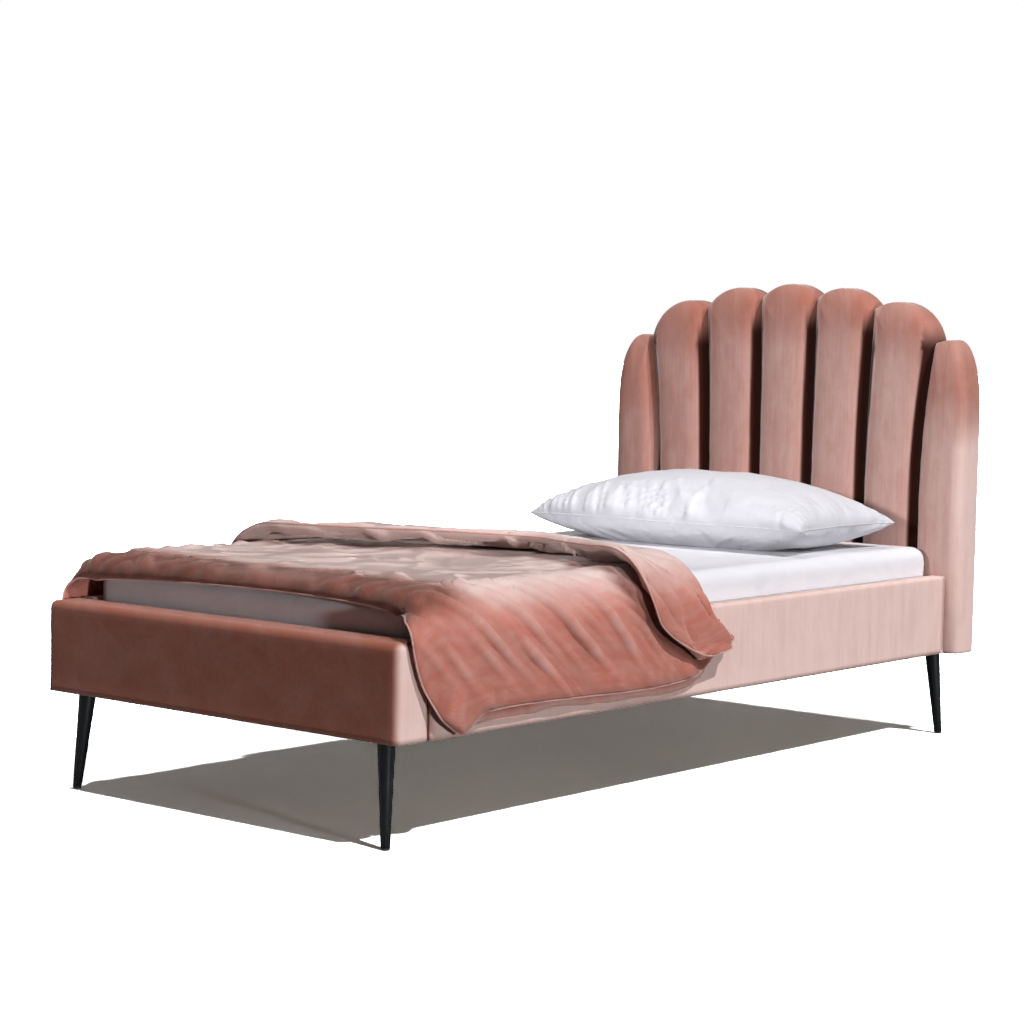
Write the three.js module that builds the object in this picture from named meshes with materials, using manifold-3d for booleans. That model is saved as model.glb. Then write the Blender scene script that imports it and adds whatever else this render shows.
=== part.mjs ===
// Upholstered single bed with a scalloped, channel-padded headboard.
// Millimetres, +X across the bed, +Y from foot to head, +Z up.
// The origin is on the floor under the middle of the bed.
import * as THREE from "three";
import { RoundedBoxGeometry } from "three/addons/geometries/RoundedBoxGeometry.js";
import { mergeVertices } from "three/addons/utils/BufferGeometryUtils.js";
import Module from "manifold-3d";

const wasm = await Module();
wasm.setup();

// ---- Driving dimensions -------------------------------------------------

const SEAT_GAP = 0.3; // left between pieces that touch
const CUT_MARGIN = 1; // how far a cutting shape stands past what it cuts

// Mattress and sheet
const MATTRESS_WIDTH = 900;
const MATTRESS_LENGTH = 1900;
const MATTRESS_HEIGHT = 155;
const MATTRESS_EDGE_RADIUS = 30;
const MATTRESS_END_CLEARANCE = 4;
const MATTRESS_SIDE_CLEARANCE = 10;
const MATTRESS_RECESS_DEPTH = 90; // depth of its underside below the rails' top
const SHEET_THICKNESS = 2;
const SHEET_HEM_RISE = 6; // sheet hem above the mattress's underside

// Side rails
const LEG_HEIGHT = 208; // floor to the underside of the rails
const RAIL_HEIGHT = 192;
const RAIL_BOARD_THICKNESS = 24;
const RAIL_OUTER_PAD = 10;
const RAIL_TOP_PAD = 10;
const RAIL_INNER_LIP = 6;
const RAIL_LIP_HEIGHT = 44;
const RAIL_BOTTOM_LIP = 2;
const RAIL_EDGE_RADIUS = 8;

// Footboard
const FOOTBOARD_THICKNESS = 94;
const FOOTBOARD_PAD = 10;
const FOOTBOARD_EDGE_RADIUS = 15;
const FOOTBOARD_BAY_COUNT = 5; // openings in its ladder frame
const FOOTBOARD_STILE_WIDTH = 44;
const FOOTBOARD_BATTEN_HEIGHT = 34;

// Headboard
const HEADBOARD_OVERHANG = 35; // past the rails on each side
const HEADBOARD_HEIGHT = 1118; // floor to the top of the middle channel
const LOBE_OVERLAP = 41.75; // how far a lobe's round top reaches past the middle between two lobes
const LOBE_DROPS = [0, 10, 44, 137]; // tops of the channels below the middle one, from the middle out
const OUTER_SHOULDER_WIDTH = 59.5; // from the outer lobe's top to the side
const OUTER_SHOULDER_DROP = 181;
const OUTER_CHANNEL_WIDTH = 135;
const FAN_START_HEIGHT = 560; // seams run upright below this and lean out above it
const CHANNEL_DEPTH = 54;
const CHANNEL_FULLNESS = 3; // exponent of the padding's crown, 2 is round
const OUTER_SIDE_FULLNESS = 5; // the same at the headboard's sides, squarer
const CHANNEL_SEAM_GAP = 1; // between the padding of two channels
const HEADBOARD_EDGE_PAD = 12;
const PANEL_THICKNESS = 17;
const DUST_COVER_THICKNESS = 1;
const DUST_COVER_MARGIN = 10;
const BASE_RAIL_HEIGHT = 85;

// Slats
const SLAT_COUNT = 13;
const SLAT_WIDTH = 68;
const SLAT_THICKNESS = 15;
const SLAT_END_CLEARANCE = 3;
const SLAT_FIRST_GAP = 30; // from the boards' ends to the first and last slat
const LEDGE_WIDTH = 25;
const LEDGE_HEIGHT = 40;
const TAPE_WIDTH = 22;
const TAPE_THICKNESS = 1.5;
const TAPE_SPACING = 560;

// Legs
const FRONT_LEG_INSET = 51; // footboard's front to the leg's top centre
const FRONT_LEG_SIDE_INSET = 73; // rail's outer face to the leg's top centre
const REAR_LEG_SIDE_INSET = 46;
const LEG_SPLAY = 15; // how far the foot stands out, both across and along
const LEG_TOP_RADIUS = 18.5;
const LEG_FOOT_RADIUS = 9.5;
const STUD_RADIUS = 4;
const STUD_LENGTH = 22;
const HOLE_CLEARANCE = 0.4; // round a stud or a bolt
const LEG_PLATE_SIZE = 44;
const LEG_PLATE_THICKNESS = 3;
const GLIDE_HEIGHT = 4;
const GLIDE_RADIUS = 9;

// Corner brackets and bolts
const BRACKET_FLANGE = 45;
const BRACKET_THICKNESS = 2.5;
const BRACKET_MARGIN = 4; // above the rails' underside and below the ledge
const BOLT_RADIUS = 4;
const BOLT_HEAD_RADIUS = 7;
const BOLT_HEAD_HEIGHT = 4;
const BRACKET_BOLT_DEPTH = 18; // into the board
const BRACKET_BOLT_MARGIN = 16; // its middle to the flange's edge
const HEADBOARD_BOLT_DEPTH = 13; // into the front panel
const HEADBOARD_BOLT_SPACING = 400;

// Pillow
const PILLOW_LENGTH = 800;
const PILLOW_WIDTH = 440;
const PILLOW_CROWN = 104; // above its seam
const PILLOW_BELLY = 62; // below its seam
const PILLOW_SEAM_THICKNESS = 4;
const PILLOW_SWELL = 0.9; // exponent of its rise from the seam, 1 is an even round
const PILLOW_BELLY_FLAT = 1.25; // how far its underside is pressed flat, 1 is not at all
const PILLOW_DRAW_IN = 0.07; // how far the sides are drawn in, against the half size
const PILLOW_TURN = 2.5; // degrees
const PILLOW_HEAD_GAP = 105; // its seam to the headboard

// Duvet, laid over both rails and turned down once towards the foot
const DUVET_THICKNESS = 26;
const DUVET_HANG_THICKNESS = 13;
const DUVET_LAYER_GAP = 2;
const DUVET_RAIL_CLEARANCE = 4;
const DUVET_SHOULDER_WIDTH = 30; // flat part's edge inside the mattress's side
const DUVET_SHOULDER_DROP = 94;
const DUVET_HANG_LENGTH = 133; // straight fall below the shoulder
const DUVET_FOOT_REACH = 26; // past the mattress's foot end
const DUVET_FOOT_ROLL = 56;
const DUVET_FOOT_DROP = 40;
const DUVET_FOLD_DEPTH = 6;
const DUVET_FOLD_WAVELENGTH = 290;
const DUVET_FOLD_LEAN = 0.8; // how far a fold runs towards the head, against how far it runs down
const DUVET_FOLD_FADE = 0.3; // share of its depth a fold loses by the end of the shoulder
// Its borders: share of the cloth's half width, distance along the bed
const DUVET_FOOT_BORDER = [
  [-1, 22],
  [-0.8, -18],
  [-0.58, 0],
  [0.58, 0],
  [0.69, -48],
  [0.81, -44],
  [0.94, -14],
  [1, 42],
];
const DUVET_TURN_BORDER = [
  [-1, 802],
  [-0.58, 832],
  [-0.29, 862],
  [0, 902],
  [0.29, 867],
  [0.58, 787],
  [0.81, 852],
  [1, 950],
];
const DUVET_HEM_BORDER = [
  [-1, 462],
  [-0.58, 477],
  [-0.29, 552],
  [0, 627],
  [0.29, 667],
  [0.58, 602],
  [0.81, 662],
  [1, 917],
];
// Side hem: distance along the bed, share of the cloth's full reach
const DUVET_SIDE_REACH = [[0, 1.02], [82, 1], [802, 1], [952, 0.94]];

// ---- Derived places ------------------------------------------------------

const RAIL_WALL = RAIL_INNER_LIP + RAIL_BOARD_THICKNESS + RAIL_OUTER_PAD;
const BED_HALF_WIDTH = MATTRESS_WIDTH / 2 + MATTRESS_SIDE_CLEARANCE + RAIL_WALL;
const BOARD_OUTER_X = BED_HALF_WIDTH - RAIL_OUTER_PAD - SEAT_GAP;
const BOARD_INNER_X = BOARD_OUTER_X - RAIL_BOARD_THICKNESS;
const RAIL_TOP_Z = LEG_HEIGHT + RAIL_HEIGHT;
const MATTRESS_BOTTOM_Z = RAIL_TOP_Z - MATTRESS_RECESS_DEPTH;
const MATTRESS_TOP_Z = MATTRESS_BOTTOM_Z + MATTRESS_HEIGHT;
const SHEET_OFFSET = SEAT_GAP + SHEET_THICKNESS;
const SHEET_TOP_Z = MATTRESS_TOP_Z + SHEET_OFFSET;
const SLAT_TOP_Z = MATTRESS_BOTTOM_Z - SEAT_GAP;
const LEDGE_TOP_Z = SLAT_TOP_Z - SLAT_THICKNESS - SEAT_GAP;
const LEDGE_BOTTOM_Z = LEDGE_TOP_Z - LEDGE_HEIGHT;

const CROWN_DISTANCE = FOOTBOARD_THICKNESS + MATTRESS_LENGTH + 2 * MATTRESS_END_CLEARANCE;
const BACKING_DEPTH = SEAT_GAP + 2 * PANEL_THICKNESS + SEAT_GAP;
const BED_LENGTH = CROWN_DISTANCE + CHANNEL_DEPTH + BACKING_DEPTH + SEAT_GAP + DUST_COVER_THICKNESS;
const FOOT_Y = -BED_LENGTH / 2;
const FOOTBOARD_BACK_Y = FOOT_Y + FOOTBOARD_THICKNESS;
const CROWN_Y = FOOT_Y + CROWN_DISTANCE;
const PADDING_BACK_Y = CROWN_Y + CHANNEL_DEPTH;
const PANEL_FRONT_Y = PADDING_BACK_Y + SEAT_GAP;
const PANEL_BACK_Y = PADDING_BACK_Y + BACKING_DEPTH;
const BOARD_FRONT_Y = FOOTBOARD_BACK_Y + SEAT_GAP;
const BOARD_BACK_Y = CROWN_Y;
const BASE_RAIL_TOP_Z = LEG_HEIGHT + BASE_RAIL_HEIGHT;

const HEADBOARD_HALF_WIDTH = BED_HALF_WIDTH + HEADBOARD_OVERHANG;
const SIDE_LOBES = LOBE_DROPS.length - 1;
const LOBE_PITCH = (HEADBOARD_HALF_WIDTH - OUTER_SHOULDER_WIDTH) / SIDE_LOBES;
const LOBE_RADIUS = LOBE_PITCH / 2 + LOBE_OVERLAP;
const SEAM_PITCH = (HEADBOARD_HALF_WIDTH - OUTER_CHANNEL_WIDTH) / (SIDE_LOBES - 0.5);

// ---- Materials -----------------------------------------------------------

const finish = (color, roughness, metalness = 0) => ({ color, roughness, metalness });
const ROSE_VELVET = finish(0xb9807a, 0.85);
const DUVET_VELVET = finish(0xa8685c, 0.85);
const WHITE_COTTON = finish(0xe9e9ee, 0.9);
const TICKING = finish(0xe2ded6, 0.95);
const PINE = finish(0xc9a272, 0.7);
const PLYWOOD = finish(0xb98f62, 0.75);
const BIRCH = finish(0xd8b98a, 0.6);
const DUST_CLOTH = finish(0x1b1b1d, 0.95);
const BLACK_LACQUER = finish(0x141517, 0.45);
const ZINC = finish(0x9fa3a6, 0.4, 0.9);
const BLACK_PLASTIC = finish(0x101011, 0.6);
const WEBBING = finish(0xd9d6cf, 0.95);

// ---- Geometry helpers ----------------------------------------------------

const bed = new THREE.Group();

function addPiece(name, geometry, look) {
  const mesh = new THREE.Mesh(geometry, new THREE.MeshStandardMaterial(look));
  mesh.name = name;
  bed.add(mesh);
}

// The same faces on shared corners, without the empty ones that meet on an axis
function welded(geometry) {
  const bare = geometry.clone();
  bare.deleteAttribute("normal");
  bare.deleteAttribute("uv");
  const merged = mergeVertices(bare, 1e-4);
  const faces = [];
  for (let i = 0; i < merged.index.count; i += 3) {
    const [a, b, c] = [0, 1, 2].map((k) => merged.index.getX(i + k));
    if (a !== b && b !== c && c !== a) {
      faces.push(a, b, c);
    }
  }
  merged.setIndex(faces);
  return merged;
}

function solidOf(geometry) {
  const mesh = welded(geometry);
  const vertProperties = new Float32Array(mesh.attributes.position.array);
  const triVerts = new Uint32Array(mesh.index.array);
  return new wasm.Manifold(new wasm.Mesh({ numProp: 3, vertProperties, triVerts }));
}

function geometryOf(solid) {
  const mesh = solid.getMesh();
  const geometry = new THREE.BufferGeometry();
  geometry.setAttribute("position", new THREE.BufferAttribute(mesh.vertProperties, 3));
  geometry.setIndex(new THREE.BufferAttribute(mesh.triVerts, 1));
  return geometry;
}

function cut(geometry, tools) {
  let solid = solidOf(geometry);
  for (const tool of tools) {
    solid = solid.subtract(solidOf(tool));
  }
  return geometryOf(solid);
}

// A box between two corners
function block([x0, y0, z0], [x1, y1, z1]) {
  const box = new THREE.BoxGeometry(x1 - x0, y1 - y0, z1 - z0);
  return box.translate((x0 + x1) / 2, (y0 + y1) / 2, (z0 + z1) / 2);
}

// A profile of [across, height] points, extruded towards the head from y0 to y1
function extrudeAlongBed(profile, y0, y1) {
  const shape = new THREE.Shape(profile.map(([across, height]) => new THREE.Vector2(across, height)));
  const solid = new THREE.ExtrudeGeometry(shape, { depth: y1 - y0, bevelEnabled: false });
  return solid.rotateX(Math.PI / 2).translate(0, y1, 0);
}

// A turned piece: [radius, height] points round the Z axis, from the axis back to the axis
function turned(profile, segments) {
  const points = profile.map(([radius, height]) => new THREE.Vector2(radius, height));
  return welded(new THREE.LatheGeometry(points, segments).rotateX(Math.PI / 2));
}

// A round bar along Z, from z0 to z1
function bar(radius, z0, z1, segments = 20) {
  return turned([[0, z0], [radius, z0], [radius, z1], [0, z1]], segments);
}

// A bolt along Z: its head's face on z = 0, its shank running down
function bolt(shankLength) {
  const head = [[BOLT_HEAD_RADIUS, 0], [BOLT_HEAD_RADIUS, BOLT_HEAD_HEIGHT], [0, BOLT_HEAD_HEIGHT]];
  return turned([[0, -shankLength], [BOLT_RADIUS, -shankLength], [BOLT_RADIUS, 0], ...head], 16);
}

// Collects faces between corners; corners at one place are shared and empty faces are left out
class Surface {
  corners = [];
  faces = [];
  places = new Map();

  corner(x, y, z) {
    const place = [x, y, z].map((value) => Math.round(value * 1000)).join(" ");
    if (!this.places.has(place)) {
      this.places.set(place, this.corners.length / 3);
      this.corners.push(x, y, z);
    }
    return this.places.get(place);
  }

  triangle(a, b, c) {
    if (a !== b && b !== c && c !== a) {
      this.faces.push(a, b, c);
    }
  }

  quad(a, b, c, d) {
    this.triangle(a, b, c);
    this.triangle(a, c, d);
  }

  // Faces between neighbouring rows of corners
  skin(rows) {
    for (let row = 1; row < rows.length; row += 1) {
      for (let i = 1; i < rows[row].length; i += 1) {
        this.quad(rows[row - 1][i - 1], rows[row - 1][i], rows[row][i], rows[row][i - 1]);
      }
    }
  }

  // The closed geometry, with its faces turned outwards
  geometry() {
    const at = (index) => new THREE.Vector3().fromArray(this.corners, index * 3);
    let volume = 0;
    for (let i = 0; i < this.faces.length; i += 3) {
      const [a, b, c] = this.faces.slice(i, i + 3).map(at);
      volume += a.dot(b.cross(c));
    }
    const geometry = new THREE.BufferGeometry();
    geometry.setAttribute("position", new THREE.Float32BufferAttribute(this.corners, 3));
    geometry.setIndex(volume > 0 ? this.faces : [...this.faces].reverse());
    return geometry;
  }
}

// A value read off a smooth curve through [place, value] points
function curveThrough(points, place) {
  const last = points.length - 2;
  let i = 0;
  while (i < last && place > points[i + 1][0]) {
    i += 1;
  }
  const [[x0, y0], [x1, y1]] = [points[i], points[i + 1]];
  const slope = (from, to) => (points[to][1] - points[from][1]) / (points[to][0] - points[from][0]);
  const startSlope = slope(Math.max(i - 1, 0), i + 1);
  const endSlope = slope(i, Math.min(i + 2, last + 1));
  const width = x1 - x0;
  const t = THREE.MathUtils.clamp((place - x0) / width, 0, 1);
  const ease = t * t * (3 - 2 * t);
  const lift = t * (1 - t) * (1 - t) * startSlope - t * t * (1 - t) * endSlope;
  return y0 + (y1 - y0) * ease + lift * width;
}

const spread = (count, make) => Array.from({ length: count }, (_, i) => make(i));

// ---- Headboard outline ---------------------------------------------------

const SEAM_STEPS = 5;
const UPPER_SEAM_STEPS = 2;
const ARC_STEPS = 10;

// Centres of the lobes' round tops, from the middle out
const lobeCentres = LOBE_DROPS.map((drop, i) => ({
  x: i * LOBE_PITCH,
  z: HEADBOARD_HEIGHT - drop - LOBE_RADIUS,
}));

// Height at which the headboard's upright side ends and its shoulder starts
const SPRINGING_Z = HEADBOARD_HEIGHT - LOBE_DROPS[SIDE_LOBES] - OUTER_SHOULDER_DROP;

// Where the round tops of lobe i - 1 and lobe i meet, drawn in by an inset
function valley(i, inset) {
  const [a, b] = [lobeCentres[i - 1], lobeCentres[i]];
  const half = Math.hypot(b.x - a.x, b.z - a.z) / 2;
  const rise = Math.sqrt((LOBE_RADIUS - inset) ** 2 - half ** 2);
  const along = { x: (b.x - a.x) / (2 * half), z: (b.z - a.z) / (2 * half) };
  return { x: (a.x + b.x) / 2 - along.z * rise, z: (a.z + b.z) / 2 + along.x * rise };
}

// Seam i at a height: upright, then leaning out to the valley above it
function seamX(i, z) {
  const foot = (i - 0.5) * SEAM_PITCH;
  const top = valley(i, 0);
  const t = Math.max(0, (z - FAN_START_HEIGHT) / (top.z - FAN_START_HEIGHT));
  return foot + (top.x - foot) * t * t;
}

// Round top of lobe i from its inner to its outer end
function lobeTop(i, inset, gapAngle) {
  const centre = lobeCentres[i];
  const radius = LOBE_RADIUS - inset;
  const angleOf = (point) => Math.atan2(point.z - centre.z, point.x - centre.x);
  const innerEnd = i === 0 ? { x: -valley(1, inset).x, z: valley(1, inset).z } : valley(i, inset);
  const start = angleOf(innerEnd) - gapAngle;
  const outermost = i === SIDE_LOBES;
  const end = outermost ? Math.PI / 2 : angleOf(valley(i + 1, inset)) + gapAngle;
  return spread(ARC_STEPS + 1, (step) => {
    const angle = start + ((end - start) * step) / ARC_STEPS;
    return [centre.x + radius * Math.cos(angle), centre.z + radius * Math.sin(angle)];
  });
}

// Outer lobe's shoulder, a quarter of an ellipse from its top down to the upright side
function outerShoulder(inset) {
  const centre = lobeCentres[SIDE_LOBES];
  const across = OUTER_SHOULDER_WIDTH - inset;
  const down = OUTER_SHOULDER_DROP - inset;
  return spread(ARC_STEPS, (step) => {
    const angle = (Math.PI / 2) * (1 - (step + 1) / ARC_STEPS);
    return [centre.x + across * Math.cos(angle), SPRINGING_Z + down * Math.sin(angle)];
  });
}

// Whole headboard outline, drawn in by an inset, down to a given height
function scallopOutline(inset, bottomZ) {
  const right = lobeTop(0, inset, 0).filter(([x]) => x > SEAT_GAP);
  for (let i = 1; i <= SIDE_LOBES; i += 1) {
    right.push(...lobeTop(i, inset, 0).slice(1));
  }
  right.push(...outerShoulder(inset));
  right.push([HEADBOARD_HALF_WIDTH - inset, bottomZ]);
  const left = right.map(([x, z]) => [-x, z]).reverse();
  return [...left, [0, HEADBOARD_HEIGHT - inset], ...right];
}

// ---- Headboard channels --------------------------------------------------

// How far out from the spine each line of the crown lies, 0 on the spine and 1 on the outline
const CROWN_STEPS = [0, 0.34, 0.6, 0.78, 0.9, 0.97, 1];

// Top of the upright spine from which channel i's crown spreads
const spineTopZ = (i) => (i === SIDE_LOBES ? SPRINGING_Z : lobeCentres[i].z);

// Outline of channel i (0 is the middle one): up its inner seam, over the top, down its outer side
function channelOutline(i, bottomZ) {
  const gap = CHANNEL_SEAM_GAP / 2;
  const outermost = i === SIDE_LOBES;
  const top = lobeTop(i, 0, CHANNEL_SEAM_GAP / LOBE_RADIUS);
  const spineTop = spineTopZ(i);
  const low = spread(SEAM_STEPS, (step) => {
    const share = step / (SEAM_STEPS - 1);
    return THREE.MathUtils.lerp(FAN_START_HEIGHT, spineTop, share);
  });
  const high = (valleyZ) => spread(UPPER_SEAM_STEPS, (step) => {
    const share = (step + 1) / (UPPER_SEAM_STEPS + 1);
    return THREE.MathUtils.lerp(spineTop, valleyZ, share);
  });
  const inner = (z) => [(i === 0 ? -seamX(1, z) : seamX(i, z)) + gap, z];
  const outer = (z) => [outermost ? HEADBOARD_HALF_WIDTH : seamX(i + 1, z) - gap, z];
  const rising = [bottomZ, ...low, ...high(top[0][1])].map(inner);
  const innerFall = () => high(top[top.length - 1][1]).map(outer).reverse();
  const outerEnd = outermost ? outerShoulder(0).slice(0, -1) : innerFall();
  const falling = [bottomZ, ...low].map(outer).reverse();
  return [...rising, ...top, ...outerEnd, ...falling];
}

// Where the crown line that ends at an outline point starts: on the upright spine, or at its top
function channelSpine(i, z) {
  const height = Math.min(z, spineTopZ(i));
  if (i === 0) {
    return [0, height];
  }
  const outer = i === SIDE_LOBES ? HEADBOARD_HALF_WIDTH : seamX(i + 1, height);
  return [(seamX(i, height) + outer) / 2, height];
}

// Exponent of the crown at an outline point of channel i
function crownFullness(i, x) {
  const past = i === SIDE_LOBES ? (x - lobeCentres[i].x) / OUTER_SHOULDER_WIDTH : 0;
  return THREE.MathUtils.lerp(CHANNEL_FULLNESS, OUTER_SIDE_FULLNESS, THREE.MathUtils.clamp(past, 0, 1));
}

function channelBlank(i, mirror, bottomZ) {
  const surface = new Surface();
  const outline = channelOutline(i, bottomZ);
  const rows = outline.map(([x, z]) => {
    const [spineX, spineZ] = channelSpine(i, z);
    const fullness = crownFullness(i, x);
    return CROWN_STEPS.map((t) => {
      const depth = CHANNEL_DEPTH * (1 - t ** fullness) ** (1 / fullness);
      const placeX = THREE.MathUtils.lerp(spineX, x, t);
      const placeZ = THREE.MathUtils.lerp(spineZ, z, t);
      return surface.corner(mirror * placeX, PADDING_BACK_Y - depth, placeZ);
    });
  });
  const backEdge = outline.map(([x, z]) => surface.corner(mirror * x, PANEL_BACK_Y, z));
  const backSpine = outline.map(([, z]) => {
    const [spineX, spineZ] = channelSpine(i, z);
    return surface.corner(mirror * spineX, PANEL_BACK_Y, spineZ);
  });
  const lines = rows.map((row, j) => [...row, backEdge[j], backSpine[j]]);
  surface.skin(lines);
  const first = lines[0];
  const last = lines[lines.length - 1];
  const hub = backSpine[0];
  for (let k = 1; k < first.length - 1; k += 1) {
    surface.triangle(hub, first[k], first[k - 1]);
    surface.triangle(hub, last[k - 1], last[k]);
  }
  return surface.geometry();
}

const panelSpace = extrudeAlongBed(
  scallopOutline(HEADBOARD_EDGE_PAD - SEAT_GAP, LEG_HEIGHT - HEADBOARD_EDGE_PAD),
  PADDING_BACK_Y,
  PANEL_BACK_Y + HEADBOARD_EDGE_PAD,
);
const baseRailSpace = block(
  [-BOARD_OUTER_X - SEAT_GAP, CROWN_Y - SEAT_GAP, LEG_HEIGHT - SEAT_GAP],
  [BOARD_OUTER_X + SEAT_GAP, PANEL_BACK_Y, BASE_RAIL_TOP_Z + SEAT_GAP],
);

for (let number = 1; number <= 2 * SIDE_LOBES + 1; number += 1) {
  const place = number - 1 - SIDE_LOBES;
  const lobe = Math.abs(place);
  const outermost = lobe === SIDE_LOBES;
  const bottomZ = outermost ? LEG_HEIGHT : BASE_RAIL_TOP_Z + SEAT_GAP;
  const blank = channelBlank(lobe, place < 0 ? -1 : 1, bottomZ);
  const tools = outermost ? [panelSpace, baseRailSpace] : [panelSpace];
  addPiece(`headboard_channel_${number}`, cut(blank, tools), ROSE_VELVET);
}

// ---- Headboard backing ---------------------------------------------------

function boltAlongBed(x, headY, z, shankLength) {
  return bolt(shankLength).rotateX(Math.PI / 2).translate(x, headY, z);
}

function boreAlongBed(x, y0, y1, z) {
  const bore = bar(BOLT_RADIUS + HOLE_CLEARANCE, 0, y1 - y0, 16);
  return bore.rotateX(-Math.PI / 2).translate(x, y0, z);
}

const panelOutline = scallopOutline(HEADBOARD_EDGE_PAD, LEG_HEIGHT);
const rearPanelY = PANEL_FRONT_Y + PANEL_THICKNESS + SEAT_GAP;
const headboardBoltZ = LEG_HEIGHT + BASE_RAIL_HEIGHT / 2;
const headboardBoltEndY = PANEL_FRONT_Y + HEADBOARD_BOLT_DEPTH;
const baseRailFrontY = CROWN_Y + SEAT_GAP;
const headboardBores = [-1, 1].map((side) => {
  const x = (side * HEADBOARD_BOLT_SPACING) / 2;
  return boreAlongBed(x, baseRailFrontY - SEAT_GAP, headboardBoltEndY + SEAT_GAP, headboardBoltZ);
});

const frontPanel = extrudeAlongBed(panelOutline, PANEL_FRONT_Y, PANEL_FRONT_Y + PANEL_THICKNESS);
addPiece("headboard_front_panel", cut(frontPanel, headboardBores), PLYWOOD);
addPiece("headboard_rear_panel", extrudeAlongBed(panelOutline, rearPanelY, PANEL_BACK_Y), PLYWOOD);

const dustCoverInset = HEADBOARD_EDGE_PAD + DUST_COVER_MARGIN;
const dustCoverOutline = scallopOutline(dustCoverInset, LEG_HEIGHT + DUST_COVER_MARGIN);
const dustCoverY = PANEL_BACK_Y + SEAT_GAP;
const dustCover = extrudeAlongBed(dustCoverOutline, dustCoverY, dustCoverY + DUST_COVER_THICKNESS);
addPiece("headboard_dust_cover", dustCover, DUST_CLOTH);

// ---- Legs: places, recesses and studs --------------------------------------

const frontLegX = BED_HALF_WIDTH - FRONT_LEG_SIDE_INSET;
const frontLegY = FOOT_Y + FRONT_LEG_INSET;
const rearLegX = BED_HALF_WIDTH - REAR_LEG_SIDE_INSET;
const rearLegY = CROWN_Y + CHANNEL_DEPTH / 2;
const legPlaces = [
  { name: "front_left", x: -frontLegX, y: frontLegY, outX: -1, outY: -1 },
  { name: "front_right", x: frontLegX, y: frontLegY, outX: 1, outY: -1 },
  { name: "rear_left", x: -rearLegX, y: rearLegY, outX: -1, outY: 1 },
  { name: "rear_right", x: rearLegX, y: rearLegY, outX: 1, outY: 1 },
];

// The room that a leg's plate and stud take in the timber above it
function legRoom({ x, y }) {
  const half = LEG_PLATE_SIZE / 2 + SEAT_GAP;
  const plateTop = LEG_HEIGHT + LEG_PLATE_THICKNESS + SEAT_GAP;
  const recess = block([x - half, y - half, LEG_HEIGHT - SEAT_GAP], [x + half, y + half, plateTop]);
  const studTop = LEG_HEIGHT + STUD_LENGTH + SEAT_GAP;
  const bore = bar(STUD_RADIUS + HOLE_CLEARANCE, LEG_HEIGHT, studTop).translate(x, y, 0);
  return [recess, bore];
}

const [frontLegs, rearLegs] = [legPlaces.slice(0, 2), legPlaces.slice(2)];

const baseRail = block(
  [-BOARD_OUTER_X, baseRailFrontY, LEG_HEIGHT],
  [BOARD_OUTER_X, PADDING_BACK_Y, BASE_RAIL_TOP_Z],
);
addPiece("headboard_base_rail", cut(baseRail, [...headboardBores, ...rearLegs.flatMap(legRoom)]), PINE);

for (const [side, sign] of [["left", -1], ["right", 1]]) {
  const headY = baseRailFrontY - SEAT_GAP;
  const shank = headboardBoltEndY - headY;
  const x = (sign * HEADBOARD_BOLT_SPACING) / 2;
  addPiece(`headboard_bolt_${side}`, boltAlongBed(x, headY, headboardBoltZ, shank), ZINC);
}

function leg({ x, y, outX, outY }) {
  const topZ = LEG_HEIGHT - SEAT_GAP;
  const footZ = GLIDE_HEIGHT + SEAT_GAP;
  const studTop = LEG_HEIGHT + STUD_LENGTH;
  const stud = [[STUD_RADIUS, topZ], [STUD_RADIUS, studTop], [0, studTop]];
  const shape = turned([[0, footZ], [LEG_FOOT_RADIUS, footZ], [LEG_TOP_RADIUS, topZ], ...stud], 20);
  const points = shape.attributes.position;
  for (let i = 0; i < points.count; i += 1) {
    const lean = (LEG_SPLAY * Math.max(0, topZ - points.getZ(i))) / topZ;
    points.setX(i, points.getX(i) + x + outX * lean);
    points.setY(i, points.getY(i) + y + outY * lean);
  }
  return shape;
}

function legPlate({ x, y }) {
  const half = LEG_PLATE_SIZE / 2;
  const plateTop = LEG_HEIGHT + LEG_PLATE_THICKNESS;
  const plate = block([x - half, y - half, LEG_HEIGHT], [x + half, y + half, plateTop]);
  const hole = bar(STUD_RADIUS + HOLE_CLEARANCE, LEG_HEIGHT - CUT_MARGIN, plateTop + CUT_MARGIN);
  return cut(plate, [hole.translate(x, y, 0)]);
}

for (const place of legPlaces) {
  const glideX = place.x + place.outX * LEG_SPLAY;
  const glideY = place.y + place.outY * LEG_SPLAY;
  const glide = bar(GLIDE_RADIUS, 0, GLIDE_HEIGHT).translate(glideX, glideY, 0);
  addPiece(`leg_${place.name}`, leg(place), BLACK_LACQUER);
  addPiece(`leg_plate_${place.name}`, legPlate(place), ZINC);
  addPiece(`leg_glide_${place.name}`, glide, BLACK_PLASTIC);
}

// ---- Footboard -------------------------------------------------------------

// Rounded box between two corners
function roundedBlock([x0, y0, z0], [x1, y1, z1], radius, steps) {
  const box = new RoundedBoxGeometry(x1 - x0, y1 - y0, z1 - z0, steps, radius);
  return box.translate((x0 + x1) / 2, (y0 + y1) / 2, (z0 + z1) / 2);
}

const frameHalfWidth = BED_HALF_WIDTH - FOOTBOARD_PAD - SEAT_GAP;
const frameFrontY = FOOT_Y + FOOTBOARD_PAD + SEAT_GAP;
const frameBackY = FOOTBOARD_BACK_Y - FOOTBOARD_PAD - SEAT_GAP;
const frameTopZ = RAIL_TOP_Z - FOOTBOARD_PAD - SEAT_GAP;

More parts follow.
